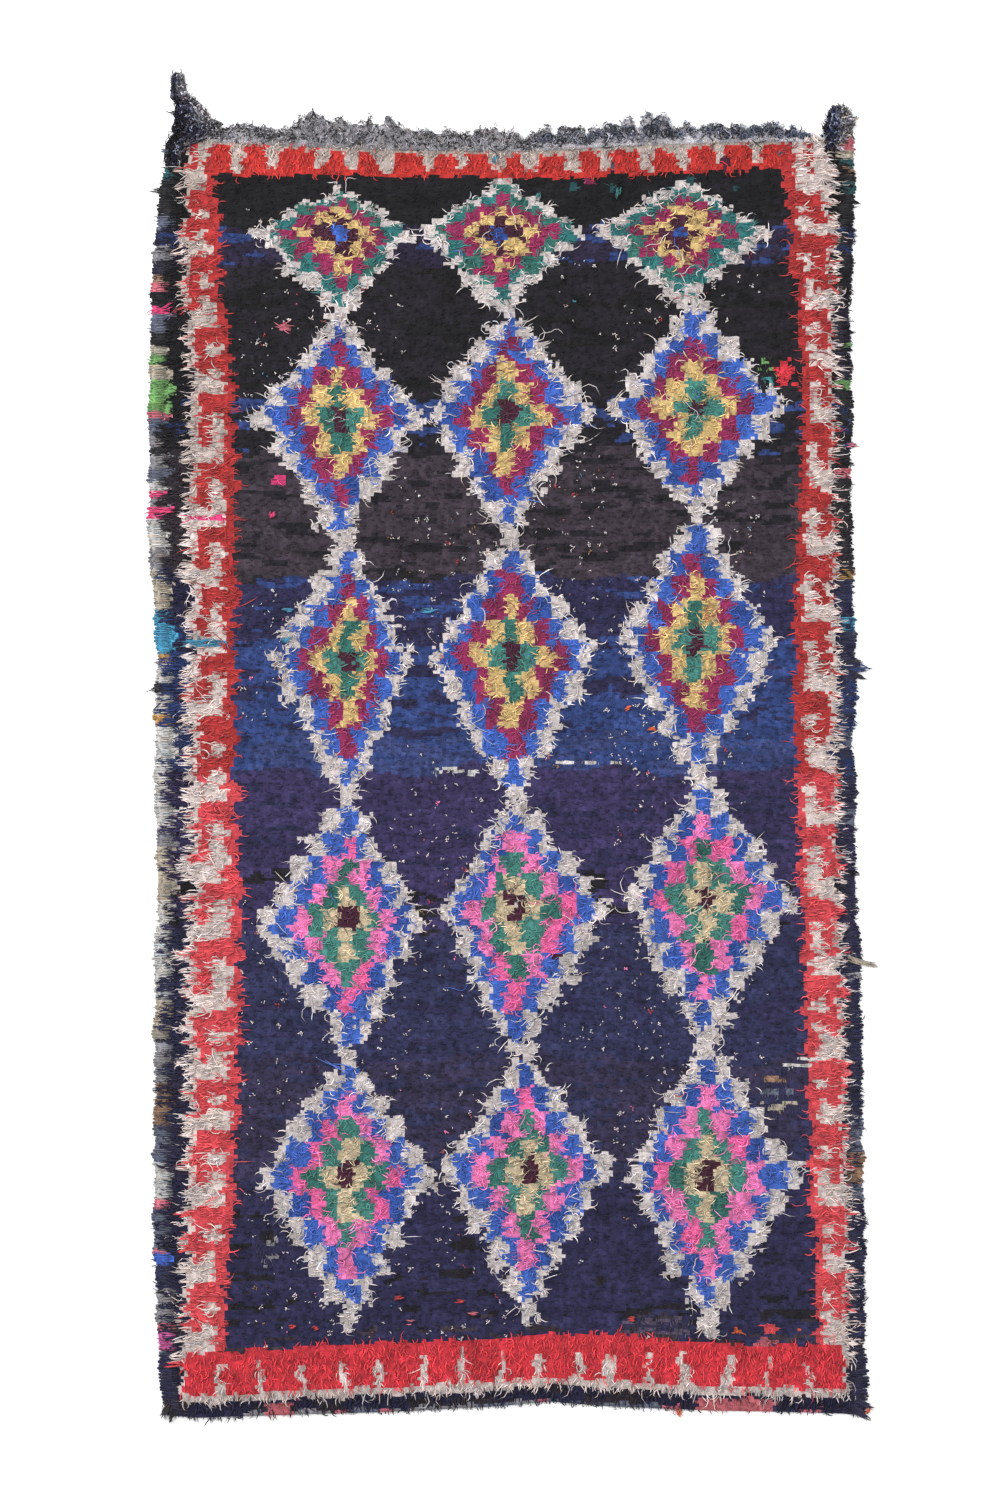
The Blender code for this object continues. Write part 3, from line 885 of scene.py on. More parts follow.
# %% The map of the ground
TOP_MAP = {"wide": 0.52, "tall": 0.96, "start": 0.02}
UNDER_MAP = {"wide": 0.40, "tall": 0.75, "start": 0.58}
MAP_BOX = {"left": -0.70, "bottom": -1.30, "wide": 1.40, "tall": 2.60}  # what the map shows, in metres
MAP_FLOOR = 0.02  # where both strips start, as a share of the map's height
RIM_OUT = 0.004  # how far the low rim is drawn outwards
END_FROM = 1.13  # from this Y on, in metres, the rim belongs to an end
normals = np.zeros(len(faces) * 3)
faces.foreach_get("normal", normals)
downward = np.repeat(normals.reshape(-1, 3)[:, 2] < -0.5, corners)
corner_points = np.zeros(len(ground.data.loops), int)
ground.data.loops.foreach_get("vertex_index", corner_points)
points = np.zeros(len(ground.data.vertices) * 3)
ground.data.vertices.foreach_get("co", points)
points = points.reshape(-1, 3)[corner_points]
share_x = (points[:, 0] - MAP_BOX["left"]) / MAP_BOX["wide"]
share_y = (points[:, 1] - MAP_BOX["bottom"]) / MAP_BOX["tall"]
top_x = TOP_MAP["start"] + share_x * TOP_MAP["wide"]
map_x = np.where(downward, UNDER_MAP["start"] + share_x * UNDER_MAP["wide"], top_x)
map_y = np.where(downward, MAP_FLOOR + share_y * UNDER_MAP["tall"], MAP_FLOOR + share_y * TOP_MAP["tall"])
low_rim = (points[:, 2] < MM) * ~downward
at_end = np.where(np.abs(points[:, 1]) > END_FROM, np.sign(points[:, 1]), 0)
map_x = map_x + low_rim * np.sign(points[:, 0]) * RIM_OUT
map_y = map_y + low_rim * at_end * RIM_OUT
ground.data.uv_layers.new(name="OFBake")
flat_map = np.column_stack([map_x, map_y]).astype(np.float32).ravel()
ground.data.uv_layers["OFBake"].data.foreach_set("uv", flat_map)
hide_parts("rug_cloth")
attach(ground, "root")
print("map of the ground from", flat_map.min().round(3), "to", flat_map.max().round(3))

# %% [markdown]
# A loose end is a short yarn with a soft bend. It could be a curve with a bevel, but tens of thousands of
# curves would be slow. So one straight yarn is modelled with bmesh: a ring of three corners, extruded
# station by station and drawn to a point. Three sides are enough for a yarn two millimetres thick. Its map
# for baking lays the sides next to one another as upright strips, with the root cap below them.


# %% One straight yarn
STRIPS = {"left": 0.03, "wide": 0.94, "low": 0.14, "tall": 0.82, "gap": 0.08, "filled": 0.84}
CAP = {"x": 0.06, "y": 0.05, "wide": 0.04, "tall": 0.035}  # middle and half sizes of the root cap on the map


def straight_yarn(stations, sides=3):
    """Points, triangles and map of a closed yarn; stations are its radii from root to tip."""
    bm = bmesh.new()
    bmesh.ops.create_circle(bm, cap_ends=True, segments=sides, radius=1)
    end = bm.faces[:][0]
    for station in range(1, len(stations)):
        made = bmesh.ops.extrude_face_region(bm, geom=[end])
        if station > 1:
            bmesh.ops.delete(bm, geom=[end], context="FACES_ONLY")
        end = next(item for item in made["geom"] if isinstance(item, bmesh.types.BMFace))
        bmesh.ops.translate(bm, verts=end.verts[:], vec=(0, 0, 1))
    bmesh.ops.pointmerge(bm, verts=end.verts[:], merge_co=(0, 0, len(stations) - 1))
    bmesh.ops.recalc_face_normals(bm, faces=bm.faces[:])
    bmesh.ops.triangulate(bm, faces=bm.faces[:])
    bm.verts.index_update()
    points = np.array([vertex.co[:] for vertex in bm.verts])
    triangles = np.array([[vertex.index for vertex in face.verts] for face in bm.faces])
    bm.free()
    station = np.round(points[:, 2]).astype(int)
    turned = np.arctan2(points[:, 1], points[:, 0]) / (2 * math.pi / sides)
    slot = np.round(turned - 0.01).astype(int) % sides
    tip = station == len(stations) - 1
    strip = STRIPS["wide"] / sides
    corners = []
    for triangle in triangles:
        rings = station[triangle]
        if rings.max() == 0:
            turn = slot[triangle] * 2 * math.pi / sides
            cap = [CAP["x"] + CAP["wide"] * np.cos(turn), CAP["y"] + CAP["tall"] * np.sin(turn)]
            corners.append(np.column_stack(cap))
            continue
        held = sorted(set(slot[triangle][~tip[triangle]]))
        first = held[1] if len(held) > 1 and held[1] - held[0] > 1 else held[0]
        right = np.where(tip[triangle], 0.5, (slot[triangle] != first).astype(float))
        across = STRIPS["left"] + strip * (first + STRIPS["gap"] + STRIPS["filled"] * right)
        up = STRIPS["low"] + STRIPS["tall"] * rings / (len(stations) - 1)
        corners.append(np.column_stack([across, up]))
    return {
        "points": points,
        "station": station,
        "triangles": triangles,
        "map": np.array(corners),
        "radii": np.array(stations, float),
    }


SHORT_YARN = straight_yarn([0.8, 1.0, 0])
MIDDLE_YARN = straight_yarn([0.75, 1.0, 0.85, 0])
print("triangles in a yarn:", [len(one["triangles"]) for one in (SHORT_YARN, MIDDLE_YARN)])

# %% [markdown]
# Thousands of bent copies come from array arithmetic: each copy swaps the straight axis for its own path,
# with a sideways and an upward direction worked out at every station. All copies of a piece make one mesh,
# because one object for each yarn would be far too many. Bright yarns are darker at the root, where the
# pile shades them.

# %% Many bent yarns in one mesh
all_pieces = []
LOWEST = 0.3 * MM  # no corner of a yarn goes below this
ROOT_SHADE = {"root": 0.60, "gain": 0.50}  # painted shade: bright yarns are darker at the root and lighter towards the tip; dark ones keep one shade
DARK_SHADE = 0.9


def yarn_mesh(name, kind, paths, widths, light, slot="rag_pile", material=None):
    """Join bent copies of one straight yarn; paths hold a place in metres for each yarn and station."""
    count = len(paths)
    forward = np.gradient(paths, axis=1)
    forward /= np.linalg.norm(forward, axis=2, keepdims=True) + 1e-9
    side = np.cross(forward, np.array([0, 0, 1.0]))
    side /= np.linalg.norm(side, axis=2, keepdims=True) + 1e-9
    over = np.cross(side, forward)
    station = kind["station"]
    ring = kind["points"][:, :2] * kind["radii"][station][:, None]
    half = (widths / 2)[:, None, None]
    places = paths[:, station]
    sideways = side[:, station] * ring[None, :, :1] * half
    places = places + sideways + over[:, station] * ring[None, :, 1:] * half
    places[:, :, 2] = np.maximum(places[:, :, 2], LOWEST + 0.2 * MM * (kind["points"][:, 1] > 0)[None])
    each = len(kind["points"])
    triangles = kind["triangles"][None] + (np.arange(count) * each)[:, None, None]
    flip = np.einsum("ij,ij->i", np.cross(side[:1, 0], over[:1, 0]), forward[:1, 0])[0] < 0
    if flip:
        triangles = triangles[:, :, ::-1]
    cells = math.ceil(math.sqrt(count))
    cell = np.column_stack([np.arange(count) % cells, np.arange(count) // cells])
    mapped = kind["map"][:, ::-1] if flip else kind["map"]
    bake_map = (mapped[None] + cell[:, None, None]) / cells
    mesh = bpy.data.meshes.new(name)
    mesh.vertices.add(count * each)
    mesh.vertices.foreach_set("co", places.astype(np.float32).ravel())
    mesh.loops.add(triangles.size)
    mesh.loops.foreach_set("vertex_index", triangles.astype(np.int32).ravel())
    mesh.polygons.add(triangles.size // 3)
    mesh.polygons.foreach_set("loop_start", np.arange(0, triangles.size, 3, dtype=np.int32))
    mesh.uv_layers.new(name="OFBake").data.foreach_set("uv", bake_map.astype(np.float32).ravel())
    mesh.update(calc_edges=True)
    mesh.shade_smooth()
    piece = bpy.data.objects.new(name, mesh)
    bpy.context.scene.collection.objects.link(piece)
    # painted shade: darker at the root, where the pile shades a yarn, and lighter towards its tip
    root_shade = ROOT_SHADE["root"] + ROOT_SHADE["gain"] * np.sqrt(station / station.max())
    if material is dark_wool:
        root_shade = DARK_SHADE + 0 * station
    paint(piece, (light[:, None] * root_shade[None, :, None]).reshape(-1, 3), "POINT")
    mesh.materials.append(material or loose_wool)
    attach(piece, "root")
    all_pieces.append(piece)
    highest = round(places[:, :, 2].max() / MM, 1)
    print(name, count, "yarns,", triangles.size // 3, "triangles, highest", highest, "mm")
    return piece


print("points in a yarn:", [len(one["points"]) for one in (SHORT_YARN, MIDDLE_YARN)])

# %% [markdown]
# How the ends lie depends on where they are. At the sides they were combed outwards, at the ends they point
# off the rug, and in the middle they lie to either side along the rows. Ends of one row of knots cling
# together, which gives the side borders their fingers. A table holds these habits, one line for each zone.
# A share of the pale ends is long and thin, as if an old yarn had come undone.

# %% How the ends lie
# heading and its spread in degrees; length, width and lift in mm; cling to the row; ends for each knot
HABITS = records(
    "zone heading spread length width lift cling ends",
    ("field", 0, 30, (8, 15), (2.0, 2.9), 3.0, 0.5, 0.85),
    ("lozenge", 0, 42, (10, 24), (1.9, 2.6), 4.5, 0.1, 1.45),
    ("left", 180, 26, (13, 28), (1.9, 2.7), 4.5, 0.6, 1.45),
    ("right", 0, 24, (13, 28), (1.9, 2.7), 4.5, 0.75, 1.45),
    ("top", 90, 36, (9, 17), (1.9, 2.6), 5.0, 0.0, 1.6),
    ("bottom", 270, 26, (11, 23), (1.9, 2.7), 4.5, 0.0, 1.45),
)
LAY = {habit["zone"]: habit for habit in HABITS}
LONG_ONES = {"share": 0.13, "longer": 1.9, "thinner": 0.78}
BACKWARDS = 0.32  # share of the red ends that lie towards the field


def scatter(places_column, places_row, habit, pale, red):
    """Roots, tips and widths in millimetres of the loose ends of the given knots; pale ones may be long."""
    count = int(len(places_column) * habit["ends"])
    knots = len(places_column)
    pick = np.concatenate([np.arange(knots), rng.integers(0, knots, knots)])
    pick = rng.permutation(pick[:count]) if count > knots else rng.permutation(knots)[:count]
    column = places_column[pick] + rng.random(len(pick))
    row = places_row[pick] + rng.random(len(pick))
    x, y = cloth_point(column / COLUMNS, row / ROWS)
    heading = np.radians(habit["heading"] + habit["spread"] * rng.normal(size=len(pick)))
    heading += math.pi * (rng.random(len(pick)) < 0.5) * (habit["heading"] == 0 and habit is not LAY["right"])
    heading += math.pi * (rng.random(len(pick)) < BACKWARDS * red[pick])
    length = rng.uniform(*habit["length"], len(pick))
    long_one = rng.random(len(pick)) < LONG_ONES["share"] * pale[pick]
    length *= np.where(long_one, LONG_ONES["longer"], 1)
    width = rng.uniform(*habit["width"], len(pick)) * np.where(long_one, LONG_ONES["thinner"], 1)
    tip_x = x + np.cos(heading) * length
    tip_y = y + np.sin(heading) * length
    row_middle = cloth_point(column / COLUMNS, (np.floor(row) + 0.5) / ROWS)[1]
    tip_y += habit["cling"] * (row_middle - tip_y) * (np.abs(row_middle - tip_y) < ROW_TALL)
    return x, y, tip_x, tip_y, width, habit["lift"]


print("ends for each knot:", {name: habit["ends"] for name, habit in LAY.items()})

# %% [markdown]
# An end rises from between the knots, bows a little to one side and comes down on its neighbours. Its path
# is kept above the ground everywhere but at its root, so no tip sinks out of sight. Yarns of one dye lot
# still differ, so each gets a shade of its own.


# %% Paths and shades of the ends
def bent_paths(x, y, tip_x, tip_y, lift, stations, bow=0.22):
    """Paths in metres that rise from the root, bow to one side and come down to the tip."""
    share = np.linspace(0, 1, stations)[None]
    length = np.hypot(tip_x - x, tip_y - y)[:, None]
    off_x, off_y = (tip_x - x)[:, None], (tip_y - y)[:, None]
    bend = (bow * rng.normal(size=len(x)))[:, None] * np.sin(math.pi * share)
    path_x = x[:, None] + off_x * share - off_y * bend
    path_y = y[:, None] + off_y * share + off_x * bend
    low = ground_height(x, y)[:, None] - 1.0 * MM
    high = ground_height(tip_x, tip_y)[:, None] + (0.6 + 1.6 * rng.random(len(x)))[:, None] * MM
    rise = (lift * rng.uniform(0.4, 1.2, len(x)))[:, None] * MM * np.sin(math.pi * share ** 0.75) ** 0.8
    path_z = low * (1 - share) + high * share + np.minimum(rise, 0.4 * length * MM)
    over = ground_height(path_x, path_y) + 0.5 * MM * share
    path_z = np.where(share > 0.2, np.maximum(path_z, over), path_z)
    return np.stack([path_x * MM, path_y * MM, path_z], axis=2)


def tint(light, spread=0.20):
    """Each yarn a little lighter or darker, warmer or cooler than the next."""
    value = 1 + spread * rng.normal(size=len(light))
    warmth = 0.05 * rng.normal(size=len(light))
    return light * np.clip(value, 0.45, 1.7)[:, None] * (1 + warmth[:, None] * np.array([1, 0, -1]))


knots = np.meshgrid(np.arange(COLUMNS), np.arange(ROWS), indexing="ij")
knot_column, knot_row = (table.ravel() for table in knots)
knot_x, knot_y = cloth_point((knot_column + 0.5) / COLUMNS, (knot_row + 0.5) / ROWS)
knot_yarn, knot_zone = pattern(knot_x, knot_y)
print(len(knot_yarn), "knots")

# %% [markdown]
# The ends are joined piece by piece, one for each family of yarn, so that a dye lot can be changed alone.
# An end whose root has strayed into a yarn that its family doesn't hold is left out. The field's short dark
# ends make two pieces, its upper and its lower half, because one would be too heavy.

# %% Lay the loose ends
BORDER_ZONES = ["left", "right", "top", "bottom"]
REDS = ["red", "scarlet", "crimson", "coral", "wine"]
MAGENTAS = ["magenta", "wine", "pink", "deep_pink", "hot_pink", "rose", "crimson"]
FAMILIES = {
    "ivory_ends": {"yarns": ["ivory"], "zones": ["lozenge"]},
    "ivory_border_ends": {"yarns": IVORIES, "zones": BORDER_ZONES},
    "red_ends": {"yarns": REDS, "zones": BORDER_ZONES},
    "blue_ends": {"yarns": ["blue", "deep_blue"], "zones": ["lozenge"]},
    "magenta_ends": {"yarns": MAGENTAS, "zones": ["lozenge"]},
    "yellow_ends": {"yarns": ["yellow", "straw"], "zones": ["lozenge"]},
    "green_ends": {"yarns": ["green", "teal", "deep_green"], "zones": ["lozenge"]},
    "maroon_ends": {"yarns": ["maroon"], "zones": ["lozenge"]},
    "repair_ends": {"yarns": ["coral", "orange", "petrol", "slate"], "zones": ["lozenge"]},
    "upper_field_ends": {"half": 1, "zones": ["field"]},
    "lower_field_ends": {"half": -1, "zones": ["field"]},
}
for family, facts in FAMILIES.items():
    chosen = np.zeros(len(knot_yarn), bool)
    for name in facts["zones"]:
        chosen |= knot_zone == zone(name)
    if "yarns" in facts:
        chosen &= np.isin(knot_yarn, [yarn(name) for name in facts["yarns"]])
    else:
        chosen &= knot_y * facts["half"] > 0
    kind = MIDDLE_YARN if "yarns" in facts else SHORT_YARN
    paths, widths, light = [], [], []
    for name in facts["zones"]:
        picked = np.flatnonzero(chosen & (knot_zone == zone(name)))
        if len(picked) == 0:
            continue
        ivory = np.isin(knot_yarn[picked], [yarn(one) for one in IVORIES])
        pale = np.where(ivory, 0.3 if name == "top" else 1, 0.25 * (name != "field"))
        red = ~ivory & (name in BORDER_ZONES)
        scattered = scatter(knot_column[picked], knot_row[picked], LAY[name], pale, red)
        x, y, tip_x, tip_y, wide, lift = scattered
        found = pattern(x, y)[0]
        own = np.isin(found, np.unique(knot_yarn[picked]))
        x, y, tip_x, tip_y, wide, found = (values[own] for values in (x, y, tip_x, tip_y, wide, found))
        paths.append(bent_paths(x, y, tip_x, tip_y, lift, len(kind["radii"])))
        widths.append(wide * MM)
        shade = knot_shade(x, y, np.full(len(x), name == "field"))
        even = name == "field" or family == "ivory_border_ends"
        light.append(tint(YARN_LIGHT[found] * shade[:, None], 0.14 if even else 0.22))
    finish = loose_wool if "yarns" in facts else dark_wool
    joined = [np.concatenate(values) for values in (paths, widths, light)]
    yarn_mesh(family, kind, *joined, material=finish)

# %% [markdown]
# The outermost rows hang over the edge as long dark locks. At the sides they gather into spiky clumps of
# several yarns drawn together at the tip, and along the bottom they hang more evenly. A lock is a few yarns
# with one aim, so that it reads as matted wool and not as single hairs.

# %% Lay the dark locks of the rim
RIM_LOCKS = {  # heading and its spread in degrees, length in mm, and the share of knots with a long lock
    "left": {"heading": 180, "spread": 11, "length": (10, 17), "long": 0.62},
    "right": {"heading": -8, "spread": 10, "length": (10, 18), "long": 0.62},
    "bottom": {"heading": 270, "spread": 18, "length": (9, 16), "long": 0.16},
}
HEM = {"outer_row": 22, "hang": 9, "left_of": -440, "hang_there": 19}  # lower near the left corner, in mm
LONG_LOCK = 1.8  # times as long as the others
OVER_THE_EDGE = 13  # how far a lock may hang past the side, in millimetres
ROOT_SPREAD = 4.5  # of the yarns in one lock, in millimetres
TIP_SPREAD = 2.2
rim = np.isin(knot_zone, [zone("left"), zone("right"), zone("bottom")])
bright = IVORIES + REDS + ["hot_pink", "rose"]
rim &= ~np.isin(knot_yarn, [yarn(name) for name in bright])
paths, widths, light = [], [], []
for name, habit in RIM_LOCKS.items():
    picked = np.flatnonzero(rim & (knot_zone == zone(name)))
    count = len(picked)
    x = knot_x[picked] + rng.uniform(-3, 3, count)
    y = knot_y[picked] + rng.uniform(-4, 4, count)
    heading = np.radians(habit["heading"] + habit["spread"] * rng.normal(size=count))
    gathered = tufts(y) > -0.15 if name != "bottom" else knot_row[picked] >= 0
    thick = gathered & (knot_chance(knot_column[picked], knot_row[picked], 24) < habit["long"])
    length = rng.uniform(*habit["length"], count) * np.where(thick, LONG_LOCK, 1)
    lock_x, lock_y = x + np.cos(heading) * length, y + np.sin(heading) * length
    if name != "bottom":
        beyond = rng.uniform(0, 1, count) * np.where(tufts(y) > 0.1, OVER_THE_EDGE, 0.2 * OVER_THE_EDGE)
        edge = read(SIDES, "along", y, name) + beyond * np.sign(lock_x)
        lock_x = np.where(np.abs(lock_x) > np.abs(edge), edge, lock_x)
    else:
        hem = read(ENDS, "share", knot_column[picked] / COLUMNS, "bottom")
        hang = rng.uniform(0, 1, count) * np.where(x < HEM["left_of"], HEM["hang_there"], HEM["hang"])
        lock_y = np.where(y < hem + HEM["outer_row"], hem - hang, lock_y)
    row_middle = cloth_point(knot_column[picked] / COLUMNS, (knot_row[picked] + 0.5) / ROWS)[1]
    lock_y += thick * 0.7 * (row_middle - lock_y)
    each = np.where(thick, rng.integers(4, 7, count), rng.integers(1, 3, count))
    root_x = np.repeat(x, each) + ROOT_SPREAD * rng.normal(size=each.sum())
    root_y = np.repeat(y, each) + ROOT_SPREAD * rng.normal(size=each.sum())
    tip_x = np.repeat(lock_x, each) + TIP_SPREAD * rng.normal(size=each.sum())
    tip_y = np.repeat(lock_y, each) + TIP_SPREAD * rng.normal(size=each.sum())
    paths.append(bent_paths(root_x, root_y, tip_x, tip_y, 5.5, 4, bow=0.08))
    widths.append(rng.uniform(2.0, 2.9, each.sum()) * MM)
    shade = np.repeat(knot_shade(x, y, np.full(count, False)), each)
    light.append(tint(YARN_LIGHT[np.repeat(knot_yarn[picked], each)] * shade[:, None], 0.2))
joined = [np.concatenate(values) for values in (paths, widths, light)]
yarn_mesh("rim_locks", MIDDLE_YARN, *joined, material=dark_wool)

# %% [markdown]
# Between the dark locks, ivory ends of the outer line run out in spikes. A spike is a handful of strands
# that start apart and meet at one tip, which is how long wool mats when it is combed one way.

# %% Lay the spikes of the side borders
SPIKES = {  # how many, their length and how far they lean down, in millimetres
    "left": {"count": 100, "length": (22, 46), "lean": -5},
    "right": {"count": 125, "length": (17, 33), "lean": -2},
}
SPIKE_SPAN = (-1185, 1110)  # from the lowest to the highest spike, in millimetres
PAST_DARK = 0.04  # a spike starts this share of the border inside the dark locks
STRANDS = 5  # in one spike
paths, light = [], []
for side, facts in SPIKES.items():
    count = facts["count"]
    y = rng.uniform(*SPIKE_SPAN, count)
    edge, field_side = read(SIDES, "along", y, side), read(FIELD_SIDES, "along", y, side)
    line = limits(LEFT_ZONES if side == "left" else RIGHT_ZONES, y)["dark"] + PAST_DARK
    outwards = np.sign(edge)
    x = edge + line * (field_side - edge)
    length = rng.uniform(*facts["length"], count) * rng.uniform(0.7, 1.0, count)
    tip_x = x + outwards * length
    tip_x = np.where(np.abs(tip_x) > np.abs(edge) + 2, edge + outwards * rng.uniform(-4, 4, count), tip_x)
    tip_y = y + facts["lean"] + 4 * rng.normal(size=count)
    spike = (x, y, tip_x, tip_y, outwards)
    x, y, tip_x, tip_y, outwards = (np.repeat(values, STRANDS) for values in spike)
    every = len(x)
    x = x - outwards * rng.uniform(-3, 12, every)
    y = y + 4.2 * rng.normal(size=every)
    tip_x = tip_x - outwards * 5 * rng.random(every)
    tip_y = tip_y + 1.2 * rng.normal(size=every)
    paths.append(bent_paths(x, y, tip_x, tip_y, 6, 4, bow=0.07))
    root_yarn = pattern(x, y)[0]
    bright_root = np.isin(root_yarn, [yarn(name) for name in bright])
    light.append(YARN_LIGHT[np.where(bright_root, root_yarn, yarn("warm_ivory"))])
paths, light = np.concatenate(paths), tint(np.concatenate(light), 0.16)
yarn_mesh("side_spikes", MIDDLE_YARN, paths, rng.uniform(1.9, 2.7, len(paths)) * MM, light)

# %% [markdown]
# At the top the cotton and wool warps were left to fray into a thick grey mop. Its reach past the last
# knots changes along the edge, so a table gives it, and noise makes its outline jagged. Each thread
# wanders: its heading swings to and fro as it goes, and some threads turn right back into loops.

# %% The reach of the frayed top
FRINGE_REACH = records(  # across = X, reach past the cloth, in millimetres
    "across reach",
    (-545, 18), (-530, 29), (-447, 37), (-400, 42), (-375, 72), (-340, 55), (-300, 58),
    (-257, 68), (-236, 54), (-219, 64), (-195, 46), (-150, 34), (-105, 42), (-67, 33),
    (-40, 42), (0, 43), (20, 33), (47, 25), (66, 36), (104, 47), (142, 43),
    (170, 31), (199, 56), (218, 43), (240, 60), (275, 62), (300, 52), (320, 36),
    (351, 36), (395, 42), (430, 31), (484, 36), (540, 27), (575, 12),
)


TOP_CORNER = -655  # X of the cloth's top left corner, in millimetres
TOP_WIDE = 1315


def top_edge(x):
    """Y of the cloth's top edge at each X, in millimetres."""
    return read(ENDS, "share", (x - TOP_CORNER) / TOP_WIDE, "top")


def wandering_paths(x, y, heading, length, stations, swing, turn, low, high):
    """Paths in metres that start at x and y in millimetres and swing or turn as they run on."""
    share = np.linspace(0, 1, stations)[None]
    waves = rng.uniform(0.6, 2.0, len(x))[:, None]
    start = rng.uniform(0, 2 * math.pi, len(x))[:, None]
    angle = heading[:, None] + turn[:, None] * share + swing * np.sin(2 * math.pi * waves * share + start)
    step = (length / (stations - 1))[:, None]
    run_x = np.cumsum(np.cos(angle) * step, axis=1) - np.cos(angle[:, :1]) * step
    run_y = np.cumsum(np.sin(angle) * step, axis=1) - np.sin(angle[:, :1]) * step
    path_x, path_y = x[:, None] + run_x, y[:, None] + run_y
    height = low + (high - low) * rng.random(len(x))[:, None] * np.sin(math.pi * (0.15 + 0.7 * share))
    path_z = np.maximum(ground_height(path_x, path_y), 0) + height * MM
    return np.stack([path_x * MM, path_y * MM, path_z], axis=2)


def fringe_reach(x):
    """How far the mop reaches past the cloth at each X, with its jagged outline, in millimetres."""
    jagged = 1 + (0.20 + 0.16 * (x > 0)) * smooth_noise(x, 0 * x, 19, 41)
    jagged = jagged + 0.22 * smooth_noise(x, 0 * x, 7, 42)
    return jagged * read(FRINGE_REACH, "across", x, "reach")


def thin_warps(x):
    """1 where the mop is so thin that its pale warps show, 0 where it is thick."""
    return np.clip((x - 60) / 120, 0, 1) * (0.55 + 0.45 * smooth_noise(x, 0 * x, 45, 49))


print("the mop reaches at most", max(row["reach"] for row in FRINGE_REACH), "mm past the cloth, give or take")

# %% [markdown]
# Under the threads lies a thin matted core, so that no floor shines through the mop. It is a grid made
# thick and then bent to the mop's outline, shorter than the mop, so that its own edge stays hidden under
# loose threads.

# %% The core of the fringe
CORE = {"from": -556, "wide": 1134, "columns": 230, "rows": 6, "share": 0.86, "thick": 6.0}
CORE_LOW = 0.4  # height of its underside, in millimetres
CORE_THIN = 1.2  # it is never thinner than this, in millimetres
bm = bmesh.new()
bmesh.ops.create_grid(bm, x_segments=CORE["columns"], y_segments=CORE["rows"], size=0.5)
bmesh.ops.solidify(bm, geom=bm.faces[:], thickness=0.5)
for vertex in bm.verts:
    x = CORE["from"] + (vertex.co.x + 0.5) * CORE["wide"]
    out = vertex.co.y + 0.5
    reach = CORE["share"] * float(fringe_reach(np.array([x]))[0])
    top = float(top_edge(x))
    sway = 3 * smooth_noise(x, out * 40, 15, 45)
    upper = vertex.co.z > -0.25
    lump = CORE["thick"] * (1 - 0.55 * out) + 1.6 * smooth_noise(x, out * 60, 9, 46)
    height = max(lump, CORE_THIN) if upper else CORE_LOW
    vertex.co = ((x + sway) * MM, (top - 1 + out * (reach + 1)) * MM, height * MM)
bmesh.ops.recalc_face_normals(bm, faces=bm.faces[:])
core = object_from("fringe_core", bm)
core.data.shade_smooth()
warp_wool = wool(
    "warp_wool", grain=1.8, streak=0.8, depth=2.0, contrast=0.85, sheen=0.1, roughness=0.95, soft=0.12
)
core.data.materials.append(warp_wool)
spots = np.zeros(len(core.data.vertices) * 3)
core.data.vertices.foreach_get("co", spots)
spots = spots.reshape(-1, 3) / MM
shade = 1.05 + 0.6 * smooth_noise(spots[:, 0], spots[:, 1], 16, 47) + 1.1 * thin_warps(spots[:, 0])
paint(core, YARN_LIGHT[yarn("grey")] * shade[:, None], "POINT")
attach(core, "root")
all_pieces.append(core)
print("fringe core faces:", len(core.data.polygons))

# %% [markdown]
# Most threads are short curls that start anywhere in the mop, and a few hundred long ones run out from the
# cloth. Some lie in shade and look nearly black, others catch the light and look nearly white, so each gets
# one of four shades by chance. Towards the right the wool turns bluer.

# %% The threads of the frayed top
FRIZZ_SPAN = (-560, 582)  # from the first to the last thread, in millimetres
THREAD_SHADES = {"times": [0.05, 0.4, 1.3, 2.2], "shares": [0.36, 0.12, 0.24, 0.28]}
FRIZZ = records(  # threads, how deep in the mop they start, length in mm, swing and spread in radians
    "threads deep length swing spread",
    (2700, 0.88, (9, 20), 1.9, 1.5),
    (300, 0.05, (26, 56), 1.1, 0.4),
)
WANDERING_YARN = straight_yarn([0.9, 1.0, 1.0, 0.9, 0])
paths, widths, light = [], [], []
for facts in FRIZZ:
    x = rng.uniform(*FRIZZ_SPAN, facts["threads"])
    x = x[rng.random(len(x)) > 0.3 * thin_warps(x)]
    count = len(x)
    top = top_edge(x)
    reach = fringe_reach(x)
    start = facts["deep"] * rng.random(count) ** 0.9 * reach
    length = np.minimum(rng.uniform(*facts["length"], count), 1.3 * (reach - start) + 12)
    turn = np.where(rng.random(count) < 0.4, rng.normal(size=count) * 2.8, 0)
    heading = math.pi / 2 + facts["spread"] * rng.normal(size=count)
    paths.append(wandering_paths(x, top + 4 + start, heading, length, 5, facts["swing"], turn, 1.0, 10))
    widths.append(rng.uniform(1.5, 2.5, count) * MM)
    bluish = np.clip(0.1 + (x - 150) / 350 + 0.25 * rng.normal(size=count), 0, 1)[:, None]
    mixed = YARN_LIGHT[yarn("grey")] * (1 - bluish) + YARN_LIGHT[yarn("slate")] * bluish
    mixed = mixed * rng.choice(THREAD_SHADES["times"], count, p=THREAD_SHADES["shares"])[:, None]
    mixed = mixed * (1 + 0.7 * thin_warps(x))[:, None]
    light.append(tint(mixed, 0.2))
joined = [np.concatenate(values) for values in (paths, widths, light)]
fringe = yarn_mesh("frayed_top", WANDERING_YARN, *joined, "frayed_warp")
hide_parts("top_fringe")

# %% [markdown]
# In the right half thick threads turn back on themselves in loops. A loop is the same wandering path with
# about a full turn in its heading, and ten stations keep it round.

